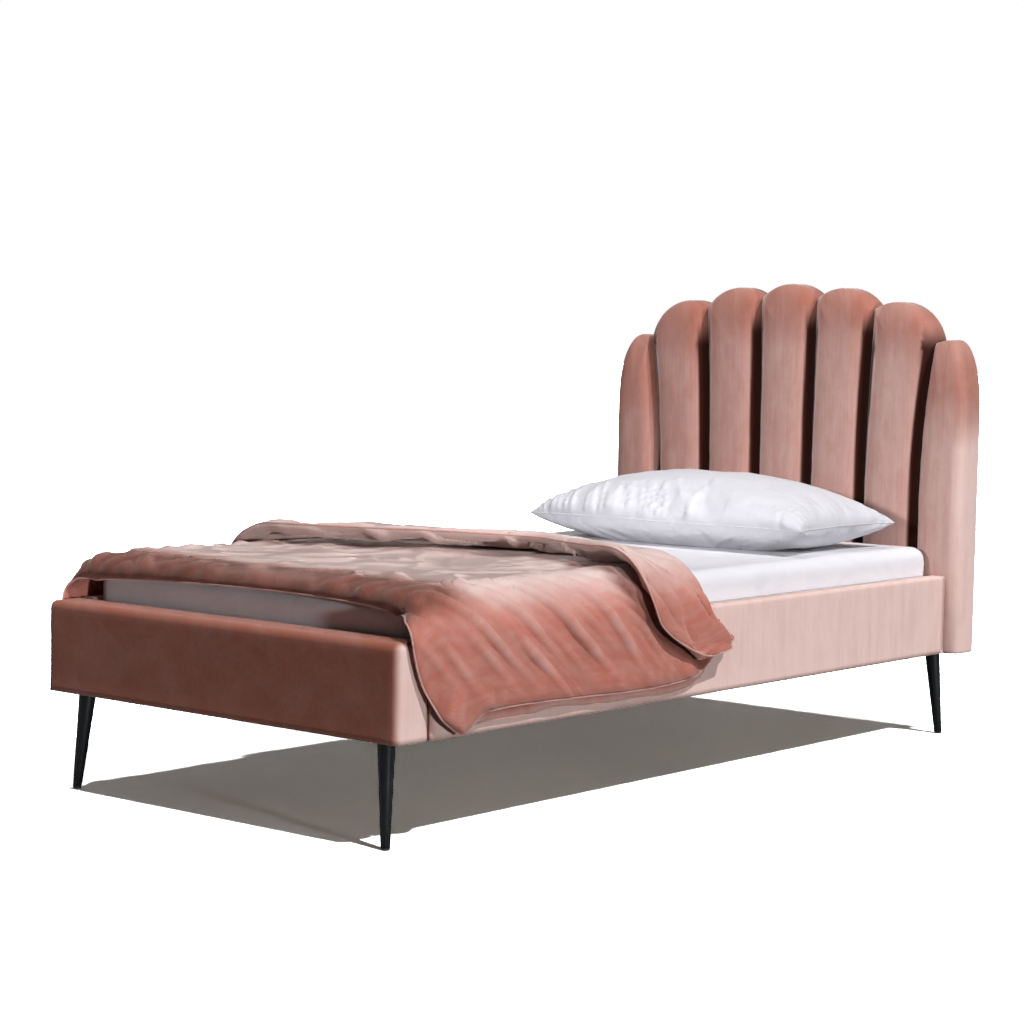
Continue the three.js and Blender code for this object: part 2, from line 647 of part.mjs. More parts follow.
function footboardFrame() {
  const stiles = (FOOTBOARD_BAY_COUNT + 1) * FOOTBOARD_STILE_WIDTH;
  const bayWidth = (2 * frameHalfWidth - stiles) / FOOTBOARD_BAY_COUNT;
  const low = LEG_HEIGHT + FOOTBOARD_BATTEN_HEIGHT;
  const high = frameTopZ - FOOTBOARD_BATTEN_HEIGHT;
  const bays = spread(FOOTBOARD_BAY_COUNT, (i) => {
    const x = -frameHalfWidth + FOOTBOARD_STILE_WIDTH + i * (bayWidth + FOOTBOARD_STILE_WIDTH);
    const [frontY, backY] = [frameFrontY - CUT_MARGIN, frameBackY + CUT_MARGIN];
    return block([x, frontY, low], [x + bayWidth, backY, high]);
  });
  const body = block(
    [-frameHalfWidth, frameFrontY, LEG_HEIGHT],
    [frameHalfWidth, frameBackY, frameTopZ],
  );
  return cut(body, [...bays, ...frontLegs.flatMap(legRoom)]);
}

function footboardCover() {
  const radius = FOOTBOARD_EDGE_RADIUS;
  const outer = roundedBlock(
    [-BED_HALF_WIDTH, FOOT_Y, LEG_HEIGHT - 2 * radius],
    [BED_HALF_WIDTH, FOOTBOARD_BACK_Y, RAIL_TOP_Z],
    radius,
    3,
  );
  const below = block(
    [-BED_HALF_WIDTH - CUT_MARGIN, FOOT_Y - CUT_MARGIN, 0],
    [BED_HALF_WIDTH + CUT_MARGIN, FOOTBOARD_BACK_Y + CUT_MARGIN, LEG_HEIGHT],
  );
  const inside = block(
    [-frameHalfWidth - SEAT_GAP, frameFrontY - SEAT_GAP, LEG_HEIGHT - CUT_MARGIN],
    [frameHalfWidth + SEAT_GAP, frameBackY + SEAT_GAP, frameTopZ + SEAT_GAP],
  );
  return cut(outer, [below, inside]);
}

addPiece("footboard_frame", footboardFrame(), PINE);
addPiece("footboard_cover", footboardCover(), ROSE_VELVET);

// ---- Side rails, ledges, brackets -------------------------------------------

const bracketLowZ = LEG_HEIGHT + BRACKET_MARGIN;
const bracketHighZ = LEDGE_BOTTOM_Z - BRACKET_MARGIN;
const bracketBoltZ = (bracketLowZ + bracketHighZ) / 2;
const bracketFaceX = BOARD_INNER_X - SEAT_GAP - BRACKET_THICKNESS;

// Outline of the velvet sleeve of the right rail: outer face, top, inner lip and bottom lip
function railSleeveProfile() {
  const radius = RAIL_EDGE_RADIUS;
  const lipX = BOARD_INNER_X - SEAT_GAP - RAIL_INNER_LIP;
  const lipZ = RAIL_TOP_Z - RAIL_LIP_HEIGHT;
  const boardTop = RAIL_TOP_Z - RAIL_TOP_PAD;
  const sleeve = BOARD_OUTER_X + SEAT_GAP;
  const corner = (centreX, centreZ, from) => spread(4, (step) => {
    const angle = from - (step * Math.PI) / 6;
    return [centreX + radius * Math.cos(angle), centreZ + radius * Math.sin(angle)];
  });
  return [
    [BOARD_INNER_X, LEG_HEIGHT],
    [BOARD_INNER_X, LEG_HEIGHT + RAIL_BOTTOM_LIP],
    [sleeve, LEG_HEIGHT + RAIL_BOTTOM_LIP],
    [sleeve, boardTop],
    [BOARD_INNER_X - SEAT_GAP, boardTop],
    [BOARD_INNER_X - SEAT_GAP, lipZ],
    [lipX, lipZ],
    ...corner(lipX + radius, RAIL_TOP_Z - radius, Math.PI),
    ...corner(BED_HALF_WIDTH - radius, RAIL_TOP_Z - radius, Math.PI / 2),
    [BED_HALF_WIDTH, LEG_HEIGHT],
  ];
}

// A piece made for the right side, or its mirror image for the left
function onSide(sign, geometry) {
  return sign > 0 ? geometry : geometryOf(solidOf(geometry).mirror([1, 0, 0]));
}

function boreAcross(x0, x1, y, z) {
  const bore = bar(BOLT_RADIUS + HOLE_CLEARANCE, 0, x1 - x0, 16);
  return bore.rotateY(Math.PI / 2).translate(x0, y, z);
}

const bracketBoltReach = BRACKET_FLANGE - BRACKET_BOLT_MARGIN;
const bracketBoltYs = { front: BOARD_FRONT_Y + bracketBoltReach, rear: BOARD_BACK_Y - bracketBoltReach };

function sideBoard() {
  const lowZ = LEG_HEIGHT + RAIL_BOTTOM_LIP + SEAT_GAP;
  const highZ = RAIL_TOP_Z - RAIL_TOP_PAD - SEAT_GAP;
  const board = block([BOARD_INNER_X, BOARD_FRONT_Y, lowZ], [BOARD_OUTER_X, BOARD_BACK_Y, highZ]);
  const boreStart = BOARD_INNER_X - CUT_MARGIN;
  const boreEnd = BOARD_INNER_X + BRACKET_BOLT_DEPTH + SEAT_GAP;
  const bores = Object.values(bracketBoltYs).map((y) => boreAcross(boreStart, boreEnd, y, bracketBoltZ));
  return cut(board, bores);
}

// Bracket at one end of the right rail: one flange on the board, one on the end piece
function cornerBracket(end) {
  const [endY, away] = end === "front" ? [BOARD_FRONT_Y, 1] : [BOARD_BACK_Y, -1];
  const outline = [
    [BOARD_INNER_X - SEAT_GAP, endY],
    [BOARD_INNER_X - SEAT_GAP, endY + away * BRACKET_FLANGE],
    [bracketFaceX, endY + away * BRACKET_FLANGE],
    [bracketFaceX, endY + away * BRACKET_THICKNESS],
    [BOARD_INNER_X - SEAT_GAP - BRACKET_FLANGE, endY + away * BRACKET_THICKNESS],
    [BOARD_INNER_X - SEAT_GAP - BRACKET_FLANGE, endY],
  ];
  const shape = new THREE.Shape(outline.map(([x, y]) => new THREE.Vector2(x, y)));
  const height = bracketHighZ - bracketLowZ;
  const plate = new THREE.ExtrudeGeometry(shape, { depth: height, bevelEnabled: false });
  const bore = boreAcross(bracketFaceX - CUT_MARGIN, BOARD_INNER_X, bracketBoltYs[end], bracketBoltZ);
  return cut(plate.translate(0, 0, bracketLowZ), [bore]);
}

function bracketBolt(end) {
  const headX = bracketFaceX - SEAT_GAP;
  const shank = BOARD_INNER_X + BRACKET_BOLT_DEPTH - headX;
  return bolt(shank).rotateY(-Math.PI / 2).translate(headX, bracketBoltYs[end], bracketBoltZ);
}

for (const [side, sign] of [["left", -1], ["right", 1]]) {
  const sleeve = extrudeAlongBed(railSleeveProfile(), BOARD_FRONT_Y, BOARD_BACK_Y);
  const ledge = block(
    [BOARD_INNER_X - SEAT_GAP - LEDGE_WIDTH, BOARD_FRONT_Y, LEDGE_BOTTOM_Z],
    [BOARD_INNER_X - SEAT_GAP, BOARD_BACK_Y, LEDGE_TOP_Z],
  );
  addPiece(`side_rail_board_${side}`, onSide(sign, sideBoard()), PINE);
  addPiece(`side_rail_cover_${side}`, onSide(sign, sleeve), ROSE_VELVET);
  addPiece(`slat_ledge_${side}`, onSide(sign, ledge), PINE);
  for (const end of ["front", "rear"]) {
    addPiece(`corner_bracket_${end}_${side}`, onSide(sign, cornerBracket(end)), ZINC);
    addPiece(`bracket_bolt_${end}_${side}`, onSide(sign, bracketBolt(end)), ZINC);
  }
}

// ---- Slats -------------------------------------------------------------------

const slatHalfLength = BOARD_INNER_X - SLAT_END_CLEARANCE;
const firstSlatY = BOARD_FRONT_Y + SLAT_FIRST_GAP;
const slatPitch = (BOARD_BACK_Y - BOARD_FRONT_Y - 2 * SLAT_FIRST_GAP - SLAT_WIDTH) / (SLAT_COUNT - 1);

for (let i = 0; i < SLAT_COUNT; i += 1) {
  const y = firstSlatY + i * slatPitch;
  const slat = block(
    [-slatHalfLength, y, SLAT_TOP_Z - SLAT_THICKNESS],
    [slatHalfLength, y + SLAT_WIDTH, SLAT_TOP_Z],
  );
  addPiece(`slat_${String(i + 1).padStart(2, "0")}`, slat, BIRCH);
}

for (const [side, sign] of [["left", -1], ["right", 1]]) {
  const middle = (sign * TAPE_SPACING) / 2;
  const topZ = SLAT_TOP_Z - SLAT_THICKNESS - SEAT_GAP;
  const lastY = firstSlatY + (SLAT_COUNT - 1) * slatPitch + SLAT_WIDTH;
  const tape = block(
    [middle - TAPE_WIDTH / 2, firstSlatY, topZ - TAPE_THICKNESS],
    [middle + TAPE_WIDTH / 2, lastY, topZ],
  );
  addPiece(`slat_tape_${side}`, tape, WEBBING);
}

// ---- Mattress and fitted sheet --------------------------------------------

const mattressFootY = FOOTBOARD_BACK_Y + MATTRESS_END_CLEARANCE;
const mattressHeadY = mattressFootY + MATTRESS_LENGTH;

function mattressForm(grow) {
  const half = MATTRESS_WIDTH / 2 + grow;
  return roundedBlock(
    [-half, mattressFootY - grow, MATTRESS_BOTTOM_Z - grow],
    [half, mattressHeadY + grow, MATTRESS_TOP_Z + grow],
    MATTRESS_EDGE_RADIUS + grow,
    3,
  );
}

function fittedSheet() {
  const under = block(
    [-MATTRESS_WIDTH, FOOT_Y, 0],
    [MATTRESS_WIDTH, PANEL_BACK_Y, MATTRESS_BOTTOM_Z + SHEET_HEM_RISE],
  );
  return cut(mattressForm(SHEET_OFFSET), [mattressForm(SEAT_GAP), under]);
}

addPiece("mattress", mattressForm(0), TICKING);
addPiece("fitted_sheet", fittedSheet(), WHITE_COTTON);

// ---- Pillow --------------------------------------------------------------------

function pillow() {
  const [acrossSteps, alongSteps] = [22, 14];
  const seamZ = SHEET_TOP_Z + SEAT_GAP + PILLOW_BELLY;
  const surface = new Surface();
  const side = (height, flatten) => spread(alongSteps + 1, (j) => spread(acrossSteps + 1, (i) => {
    const u = Math.sin((Math.PI / 2) * ((2 * i) / acrossSteps - 1));
    const v = Math.sin((Math.PI / 2) * ((2 * j) / alongSteps - 1));
    const fall = Math.sqrt((1 - u ** 2) * (1 - v ** 2));
    const swell = Math.min(1, fall * flatten) ** PILLOW_SWELL;
    const x = (PILLOW_LENGTH / 2) * u * (1 - PILLOW_DRAW_IN * (1 - v * v) * u * u);
    const y = (PILLOW_WIDTH / 2) * v * (1 - PILLOW_DRAW_IN * (1 - u * u) * v * v);
    const rim = (Math.sign(height) * PILLOW_SEAM_THICKNESS) / 2;
    return surface.corner(x, y, rim + (height - rim) * swell);
  }));
  const top = side(PILLOW_CROWN, 1);
  const bottom = side(-PILLOW_BELLY, PILLOW_BELLY_FLAT);
  surface.skin(top);
  surface.skin([...bottom].reverse());
  const edges = (rows) => [
    rows[0],
    rows.map((row) => row[acrossSteps]),
    [...rows[alongSteps]].reverse(),
    rows.map((row) => row[0]).reverse(),
  ];
  const [topEdges, bottomEdges] = [edges(top), edges(bottom)];
  topEdges.forEach((edge, k) => surface.skin([bottomEdges[k], edge]));
  const middleY = CROWN_Y - PILLOW_HEAD_GAP - PILLOW_WIDTH / 2;
  const laid = surface.geometry().rotateZ(THREE.MathUtils.degToRad(PILLOW_TURN));
  return laid.translate(0, middleY, seamZ);
}

addPiece("pillow", pillow(), WHITE_COTTON);

// ---- Duvet ---------------------------------------------------------------------

const duvetFlat = MATTRESS_WIDTH / 2 - DUVET_SHOULDER_WIDTH;
const duvetMiddleZ = SHEET_TOP_Z + SEAT_GAP + DUVET_THICKNESS / 2;
const duvetHangX = BED_HALF_WIDTH + DUVET_RAIL_CLEARANCE + DUVET_HANG_THICKNESS / 2;
const shoulderWidth = duvetHangX - duvetFlat;
const shoulderLength = (Math.PI / 2) * Math.sqrt((shoulderWidth ** 2 + DUVET_SHOULDER_DROP ** 2) / 2);
const duvetReach = duvetFlat + shoulderLength + DUVET_HANG_LENGTH;

// Distance from the mattress's foot end at which the cloth starts to roll down over it
const duvetRollEnd = DUVET_FOOT_ROLL - DUVET_FOOT_REACH;

// How far round the shoulder a place on the cloth lies: 0 on the flat, 1 on the straight fall
const shoulderShare = (s) => THREE.MathUtils.clamp((Math.abs(s) - duvetFlat) / shoulderLength, 0, 1);
const easeShare = (t) => t * t * (3 - 2 * t);

// Middle of the cloth's thickness across the bed, and the direction out of it
function duvetSection(s) {
  const side = Math.sign(s) || 1;
  const angle = (shoulderShare(s) * Math.PI) / 2;
  const fall = Math.max(0, Math.abs(s) - duvetFlat - shoulderLength);
  const x = Math.min(Math.abs(s), duvetFlat) + shoulderWidth * Math.sin(angle);
  const z = duvetMiddleZ - DUVET_SHOULDER_DROP * (1 - Math.cos(angle)) - fall;
  const steepness = Math.sin(angle) / shoulderWidth;
  const flatness = Math.cos(angle) / DUVET_SHOULDER_DROP;
  const normal = new THREE.Vector2(steepness, flatness).normalize();
  return { x: side * x, z, nx: side * normal.x, nz: normal.y };
}

function duvetThickness(s) {
  return THREE.MathUtils.lerp(DUVET_THICKNESS, DUVET_HANG_THICKNESS, easeShare(shoulderShare(s)));
}

// Broad folds that run down the sides and out towards the head
function duvetFold(s, distance) {
  const lean = DUVET_FOLD_LEAN * Math.max(0, Math.abs(s) - duvetFlat);
  const phase = (distance - lean) / DUVET_FOLD_WAVELENGTH;
  const wave = (1 + Math.sin(2 * Math.PI * phase)) / 2;
  const share = shoulderShare(s);
  return DUVET_FOLD_DEPTH * wave * Math.sin(Math.PI * share) * (1 - DUVET_FOLD_FADE * share);
}

// Place on the middle surface: s along the cloth from the middle, distance from the mattress's foot end
function duvetPoint(s, distance, lift) {
  const { x, z, nx, nz } = duvetSection(s);
  const rolled = THREE.MathUtils.clamp((duvetRollEnd - distance) / DUVET_FOOT_ROLL, 0, 1);
  const droop = DUVET_FOOT_DROP * (1 - Math.sqrt(1 - rolled ** 2)) * (1 - easeShare(shoulderShare(s)));
  const out = lift + duvetFold(s, distance);
  return new THREE.Vector3(x + nx * out, mattressFootY + distance, z + nz * out - droop);
}

function duvet() {
  const [rollSteps, underSteps, turnSteps, flapSteps] = [4, 10, 4, 6];
  const shares = [-1, -0.93, -0.86, -0.8, -0.74, -0.69, -0.645, -0.61, -0.58, -0.4, -0.2, 0];
  const across = [...shares, ...shares.slice(0, -1).reverse().map((share) => -share)];
  const middle = across.map((share) => {
    const nominal = share * duvetReach;
    const start = curveThrough(DUVET_FOOT_BORDER, share) - DUVET_FOOT_REACH;
    const turn = curveThrough(DUVET_TURN_BORDER, share);
    const hem = curveThrough(DUVET_HEM_BORDER, share);
    const lift = duvetThickness(nominal) + DUVET_LAYER_GAP;
    const radius = lift / 2;
    const bendStart = turn - radius;
    const place = (distance, out) => {
      const s = nominal * curveThrough(DUVET_SIDE_REACH, distance);
      return { s, point: duvetPoint(s, distance, out) };
    };
    const between = (from, to, steps, k) => THREE.MathUtils.lerp(from, to, k / steps);
    const roll = spread(rollSteps, (k) => place(between(start, duvetRollEnd, rollSteps, k), 0));
    const under = spread(underSteps, (k) => place(between(duvetRollEnd, bendStart, underSteps, k), 0));
    const bend = spread(turnSteps, (k) => {
      const angle = (Math.PI * k) / turnSteps;
      return place(bendStart + radius * Math.sin(angle), radius * (1 - Math.cos(angle)));
    });
    const flap = spread(flapSteps + 1, (k) => place(between(bendStart, hem, flapSteps, k), lift));
    return [...roll, ...under, ...bend, ...flap];
  });
  return thickened(middle);
}

// A closed solid round a grid of places, as thick as the duvet is at each
function thickened(grid) {
  const surface = new Surface();
  const [lastLine, lastRow] = [grid.length - 1, grid[0].length - 1];
  const at = (i, j) => {
    const line = grid[THREE.MathUtils.clamp(i, 0, lastLine)];
    return line[THREE.MathUtils.clamp(j, 0, lastRow)].point.clone();
  };
  const sides = [1, -1].map((side) => grid.map((line, i) => line.map(({ s, point }, j) => {
    const acrossDirection = at(i + 1, j).sub(at(i - 1, j));
    const alongDirection = at(i, j + 1).sub(at(i, j - 1));
    const normal = acrossDirection.cross(alongDirection).normalize();
    const place = point.clone().addScaledVector(normal, (side * duvetThickness(s)) / 2);
    return surface.corner(place.x, place.y, place.z);
  })));
  const [top, bottom] = sides;
  surface.skin(top);
  surface.skin([...bottom].reverse());
  const rim = (lines) => [
    lines[0],
    lines.map((line) => line[lastRow]),
    [...lines[lastLine]].reverse(),
    lines.map((line) => line[0]).reverse(),
  ];
  const bottomRim = rim(bottom);
  rim(top).forEach((edge, k) => surface.skin([bottomRim[k], edge]));
  return surface.geometry();
}

addPiece("duvet", duvet(), DUVET_VELVET);

export default bed;
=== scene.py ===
"""Upholstered single bed: its padding, covers, bedding, finishes and stage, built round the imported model."""

import math

import bmesh
import bpy
import numpy as np
from mathutils import Matrix, Vector


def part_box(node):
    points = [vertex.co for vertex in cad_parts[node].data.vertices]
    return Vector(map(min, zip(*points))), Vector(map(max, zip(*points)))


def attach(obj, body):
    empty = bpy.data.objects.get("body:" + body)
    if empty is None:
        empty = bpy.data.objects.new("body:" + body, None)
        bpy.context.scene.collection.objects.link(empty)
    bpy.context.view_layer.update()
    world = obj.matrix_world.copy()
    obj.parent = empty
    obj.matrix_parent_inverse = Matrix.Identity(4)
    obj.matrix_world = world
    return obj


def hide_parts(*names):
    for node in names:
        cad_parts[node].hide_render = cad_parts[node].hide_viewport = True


bl_info = {
    "name": "Upholstered Scallop Bed",
    "version": (1, 0, 0),
    "blender": (4, 5, 0),
    "location": "View3D > Sidebar > Bed",
    "description": "Builds the padding, covers, bedding and finishes of a channelled bed round its frame",
    "category": "Object",
}

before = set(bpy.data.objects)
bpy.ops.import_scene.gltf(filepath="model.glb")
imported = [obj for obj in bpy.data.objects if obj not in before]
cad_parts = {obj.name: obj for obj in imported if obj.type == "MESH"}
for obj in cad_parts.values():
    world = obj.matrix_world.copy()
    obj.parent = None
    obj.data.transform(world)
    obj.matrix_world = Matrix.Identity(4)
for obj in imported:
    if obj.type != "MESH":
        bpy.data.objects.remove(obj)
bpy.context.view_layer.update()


# ---- Sizes read from the frame -------------------------------------------

CROWN_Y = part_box("headboard_channel_4")[0].y
HEADBOARD_BACK_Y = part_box("headboard_channel_4")[1].y
HEADBOARD_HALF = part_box("headboard_channel_7")[1].x
LOBE_TOPS = [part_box(f"headboard_channel_{4 + i}")[1].z for i in range(4)]
CHANNEL_FEET = [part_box(f"headboard_channel_{4 + i}")[0].z for i in range(4)]
FOOT_LOW, FOOT_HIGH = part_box("footboard_cover")
RAIL_LOW, RAIL_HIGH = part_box("side_rail_cover_right")
MATTRESS_LOW, MATTRESS_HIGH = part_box("mattress")
SHEET_LOW, SHEET_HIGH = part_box("fitted_sheet")
PILLOW_LOW, PILLOW_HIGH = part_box("pillow")
LEG_TOP_Z = FOOT_LOW.z


# ---- Settings --------------------------------------------------------------


def length(name, text, default):
    return bpy.props.FloatProperty(
        name=name, description=text, default=default, min=0.0, unit="LENGTH", precision=4
    )


def colour(name, text, default):
    return bpy.props.FloatVectorProperty(
        name=name, description=text, default=default, size=3, min=0.0, max=1.0, subtype="COLOR"
    )


class BedSizes(bpy.types.PropertyGroup):
    """Sizes of the padding and bedding that a user would change."""

    channel_depth: length("Channel depth", "How far the channels' padding stands out", 0.054)
    shoulder_width: length("Shoulder width", "From the outer lobe's top to the side", 0.0595)
    shoulder_drop: length("Shoulder drop", "From the outer lobe's top to the upright side", 0.181)
    lobe_overlap: length("Lobe overlap", "How far a lobe's top reaches past the middle between two", 0.04175)
    outer_width: length("Outer channel width", "Width of the outer channels at the bottom", 0.135)
    fan_start: length("Fan start", "Height at which the seams begin to lean out", 0.56)
    cover_thickness: length("Cover thickness", "Velvet and wadding over the boards", 0.0094)
    footboard_radius: length("Footboard radius", "Soft edge round the footboard", 0.017)
    rail_radius: length("Rail radius", "Soft edge along the side rails", 0.009)
    duvet_thickness: length("Duvet thickness", "Filling on top of the bed", 0.026)
    hang_thickness: length("Hang thickness", "Filling where the duvet hangs down", 0.013)
    piping: length("Piping radius", "Radius of the corded edge of the duvet", 0.0022)


class BedColours(bpy.types.PropertyGroup):
    """Colours of the fabrics and of the frame."""

    velvet: colour("Velvet", "Dusty pink velvet of the frame", (0.44, 0.225, 0.19))
    # The brushed and crushed velvets are also lit and shaded copies of each velvet, used as painted light and
    # painted shade.
    velvet_brushed_and_lit: colour("Velvet, brushed up and lit", "Velvet with its pile brushed up, and its painted light", (0.71, 0.52, 0.48))
    velvet_crushed_and_shaded: colour("Velvet, crushed and shaded", "Velvet with its pile crushed, and its painted shade", (0.34, 0.1, 0.06))
    duvet: colour("Duvet velvet", "Terracotta pink velvet of the duvet", (0.52, 0.17, 0.125))
    duvet_brushed_and_lit: colour("Duvet velvet, brushed up and lit", "Duvet velvet on its top and ridges, with painted light", (0.70, 0.54, 0.51))
    duvet_crushed_and_shaded: colour("Duvet velvet, crushed and shaded", "Duvet velvet in its hollows and at its foot, with painted shade", (0.15, 0.05, 0.034))
    cotton: colour("Cotton", "White cotton of sheet and pillow", (0.70, 0.69, 0.73))
    lacquer: colour("Lacquer", "Black lacquer of the legs", (0.004, 0.005, 0.0065))


# ---- Smooth seeded noise ----------------------------------------------------


def lattice(ix, iy, iz, seed):
    """Repeatable values from -1 to 1 on whole-number places."""
    n = (ix * 374761393 + iy * 668265263 + iz * 1440662683 + seed * 1274126177) & 0xFFFFFFFF
    n = ((n ^ (n >> 13)) * 1274126177) & 0xFFFFFFFF
    n = ((n ^ (n >> 16)) * 668265263) & 0xFFFFFFFF
    return (n ^ (n >> 15)) / 2.0**31 - 1.0


def noise(x, y, z=0.0, seed=0):
    """Smooth noise from about -1 to 1 at arrays of places."""
    x, y, z = np.broadcast_arrays(np.asarray(x, float), y, z)
    base = [np.floor(v).astype(np.int64) for v in (x, y, z)]
    part = [v - b for v, b in zip((x, y, z), base)]
    ease = [p * p * p * (p * (p * 6 - 15) + 10) for p in part]
    total = 0.0
    for dx in (0, 1):
        wx = ease[0] if dx else 1 - ease[0]
        for dy in (0, 1):
            wy = ease[1] if dy else 1 - ease[1]
            for dz in (0, 1):
                wz = ease[2] if dz else 1 - ease[2]
                total = total + wx * wy * wz * lattice(base[0] + dx, base[1] + dy, base[2] + dz, seed)
    return total


def layered(x, y, z=0.0, seed=0, layers=3):
    """Noise with finer layers, each half as strong."""
    total, size, strength = 0.0, 1.0, 1.0
    for k in range(layers):
        scaled = [np.asarray(v) * size for v in (x, y, z)]
        total = total + strength * noise(*scaled, seed + 17 * k)
        size, strength = size * 2.03, strength * 0.5
    return total / 1.6


def smooth_step(low, high, value):
    """0 below one value, 1 above another, and eased between them."""
    t = np.clip((np.asarray(value, float) - low) / (high - low), 0, 1)
    return t * t * (3 - 2 * t)


def crests(x, y, seed, narrow, power=1.0):
    """Narrow winding crests from 0 to 1, where smooth noise passes through zero."""
    return np.clip(1 - np.abs(noise(x, y, 0, seed)) * narrow, 0, 1) ** power


def curve_through(points, place):
    """Values read off a smooth curve through (place, value) points."""
    px = np.array([p[0] for p in points], float)
    py = np.array([p[1] for p in points], float)
    slope = np.empty(len(px))
    slope[1:-1] = (py[2:] - py[:-2]) / (px[2:] - px[:-2])
    slope[0] = (py[1] - py[0]) / (px[1] - px[0])
    slope[-1] = (py[-1] - py[-2]) / (px[-1] - px[-2])
    i = np.clip(np.searchsorted(px, place, side="right") - 1, 0, len(px) - 2)
    w = px[i + 1] - px[i]
    t = np.clip((place - px[i]) / w, 0, 1)
    ease = t * t * (3 - 2 * t)
    lift = t * (1 - t) ** 2 * slope[i] - t * t * (1 - t) * slope[i + 1]
    return py[i] + (py[i + 1] - py[i]) * ease + lift * w


# ---- Mesh helpers ------------------------------------------------------------


def deselect_all():
    if bpy.context.mode != "OBJECT":
        bpy.ops.object.mode_set(mode="OBJECT")
    bpy.ops.object.select_all(action="DESELECT")


def make_active(piece):
    deselect_all()
    piece.select_set(True)
    bpy.context.view_layer.objects.active = piece


def piece_from(name, points, faces, uv=None):
    """A smooth piece from corner places and faces, with an optional UV place for each corner."""
    mesh = bpy.data.meshes.new(name)
    mesh.from_pydata([tuple(p) for p in points], [], [tuple(int(i) for i in f) for f in faces])
    if uv is not None:
        layer = mesh.uv_layers.new(name="Cloth")
        loops = np.empty(len(mesh.loops), np.int64)
        mesh.loops.foreach_get("vertex_index", loops)
        layer.data.foreach_set("uv", np.asarray(uv, np.float32)[loops].ravel())
    mesh.validate()
    piece = bpy.data.objects.new(name, mesh)
    bpy.context.scene.collection.objects.link(piece)
    mesh.shade_smooth()
    return piece


def mark_points(piece, name, values):
    """Stores one number for each corner, for the piece's material to read."""
    held = piece.data.attributes.new(name, "FLOAT", "POINT")
    held.data.foreach_set("value", np.asarray(values, np.float32).ravel())


def tidy_mesh(piece, merge=1e-5, close=False):
    """Joins corners at one place, closes holes if asked, and turns faces outwards."""
    work = bmesh.new()
    work.from_mesh(piece.data)
    bmesh.ops.remove_doubles(work, verts=work.verts, dist=merge)
    bmesh.ops.dissolve_degenerate(work, edges=work.edges, dist=1e-7)
    if close:
        rim = [e for e in work.edges if e.is_boundary]
        bmesh.ops.holes_fill(work, edges=rim, sides=0)
    bmesh.ops.recalc_face_normals(work, faces=work.faces)
    work.to_mesh(piece.data)
    work.free()
    piece.data.shade_smooth()
    return piece


def corners_of(piece):
    co = np.empty(len(piece.data.vertices) * 3)
    piece.data.vertices.foreach_get("co", co)
    return co.reshape(-1, 3)


def place_corners(piece, co):
    piece.data.vertices.foreach_set("co", np.asarray(co, np.float32).ravel())
    piece.data.update()


def normals_of(piece):
    co = np.empty(len(piece.data.vertices) * 3)
    piece.data.vertices.foreach_get("normal", co)
    return co.reshape(-1, 3)


def grid_faces(rows, columns, start=0, flip=False):
    """Faces of a grid of corners kept row by row."""
    i, j = np.meshgrid(np.arange(rows - 1), np.arange(columns - 1), indexing="ij")
    a = (start + i * columns + j).ravel()
    quads = np.stack([a, a + 1, a + columns + 1, a + columns], 1)
    return quads[:, ::-1] if flip else quads


def two_sided_faces(rows, columns):
    """Faces of a grid, of the same grid turned over below it, and of the wall between their borders."""
    n = rows * columns
    border = list(range(columns)) + [i * columns + columns - 1 for i in range(1, rows)]
    border += [(rows - 1) * columns + j for j in range(columns - 2, -1, -1)]
    border += [i * columns for i in range(rows - 2, 0, -1)]
    ring = np.array(border)
    after = np.roll(ring, -1)
    wall = np.stack([ring, ring + n, after + n, after], 1)
    sides = [grid_faces(rows, columns), grid_faces(rows, columns, n, flip=True), wall]
    return np.concatenate(sides), ring


def block(name, low, high):
    """A box primitive between two corners, with its place applied."""
    deselect_all()
    low, high = Vector(low), Vector(high)
    bpy.ops.mesh.primitive_cube_add(size=1, location=(low + high) / 2, scale=high - low)
    piece = bpy.context.active_object
    piece.name = piece.data.name = name
    bpy.ops.object.transform_apply(location=True, rotation=True, scale=True)
    return piece


def pick(piece, faces=None, edges=None, corners=None):
    """In edit mode, selects the elements that a test accepts by place or normal."""
    mode = "FACE" if faces else "EDGE" if edges else "VERT"
    bpy.ops.mesh.select_mode(type=mode)
    bpy.ops.mesh.select_all(action="DESELECT")
    work = bmesh.from_edit_mesh(piece.data)
    if faces:
        for f in work.faces:
            f.select = bool(faces(f.calc_center_median(), f.normal))
    if edges:
        for e in work.edges:
            e.select = bool(edges(e.verts[0].co, e.verts[1].co))
    if corners:
        for v in work.verts:
            v.select = bool(corners(v.co))
    work.select_flush_mode()
    bmesh.update_edit_mesh(piece.data)


def apply_modifier(piece, kind, **settings):
    make_active(piece)
    modifier = piece.modifiers.new(kind.title(), kind)
    for key, value in settings.items():
        setattr(modifier, key, value)
    bpy.ops.object.modifier_apply(modifier=modifier.name)


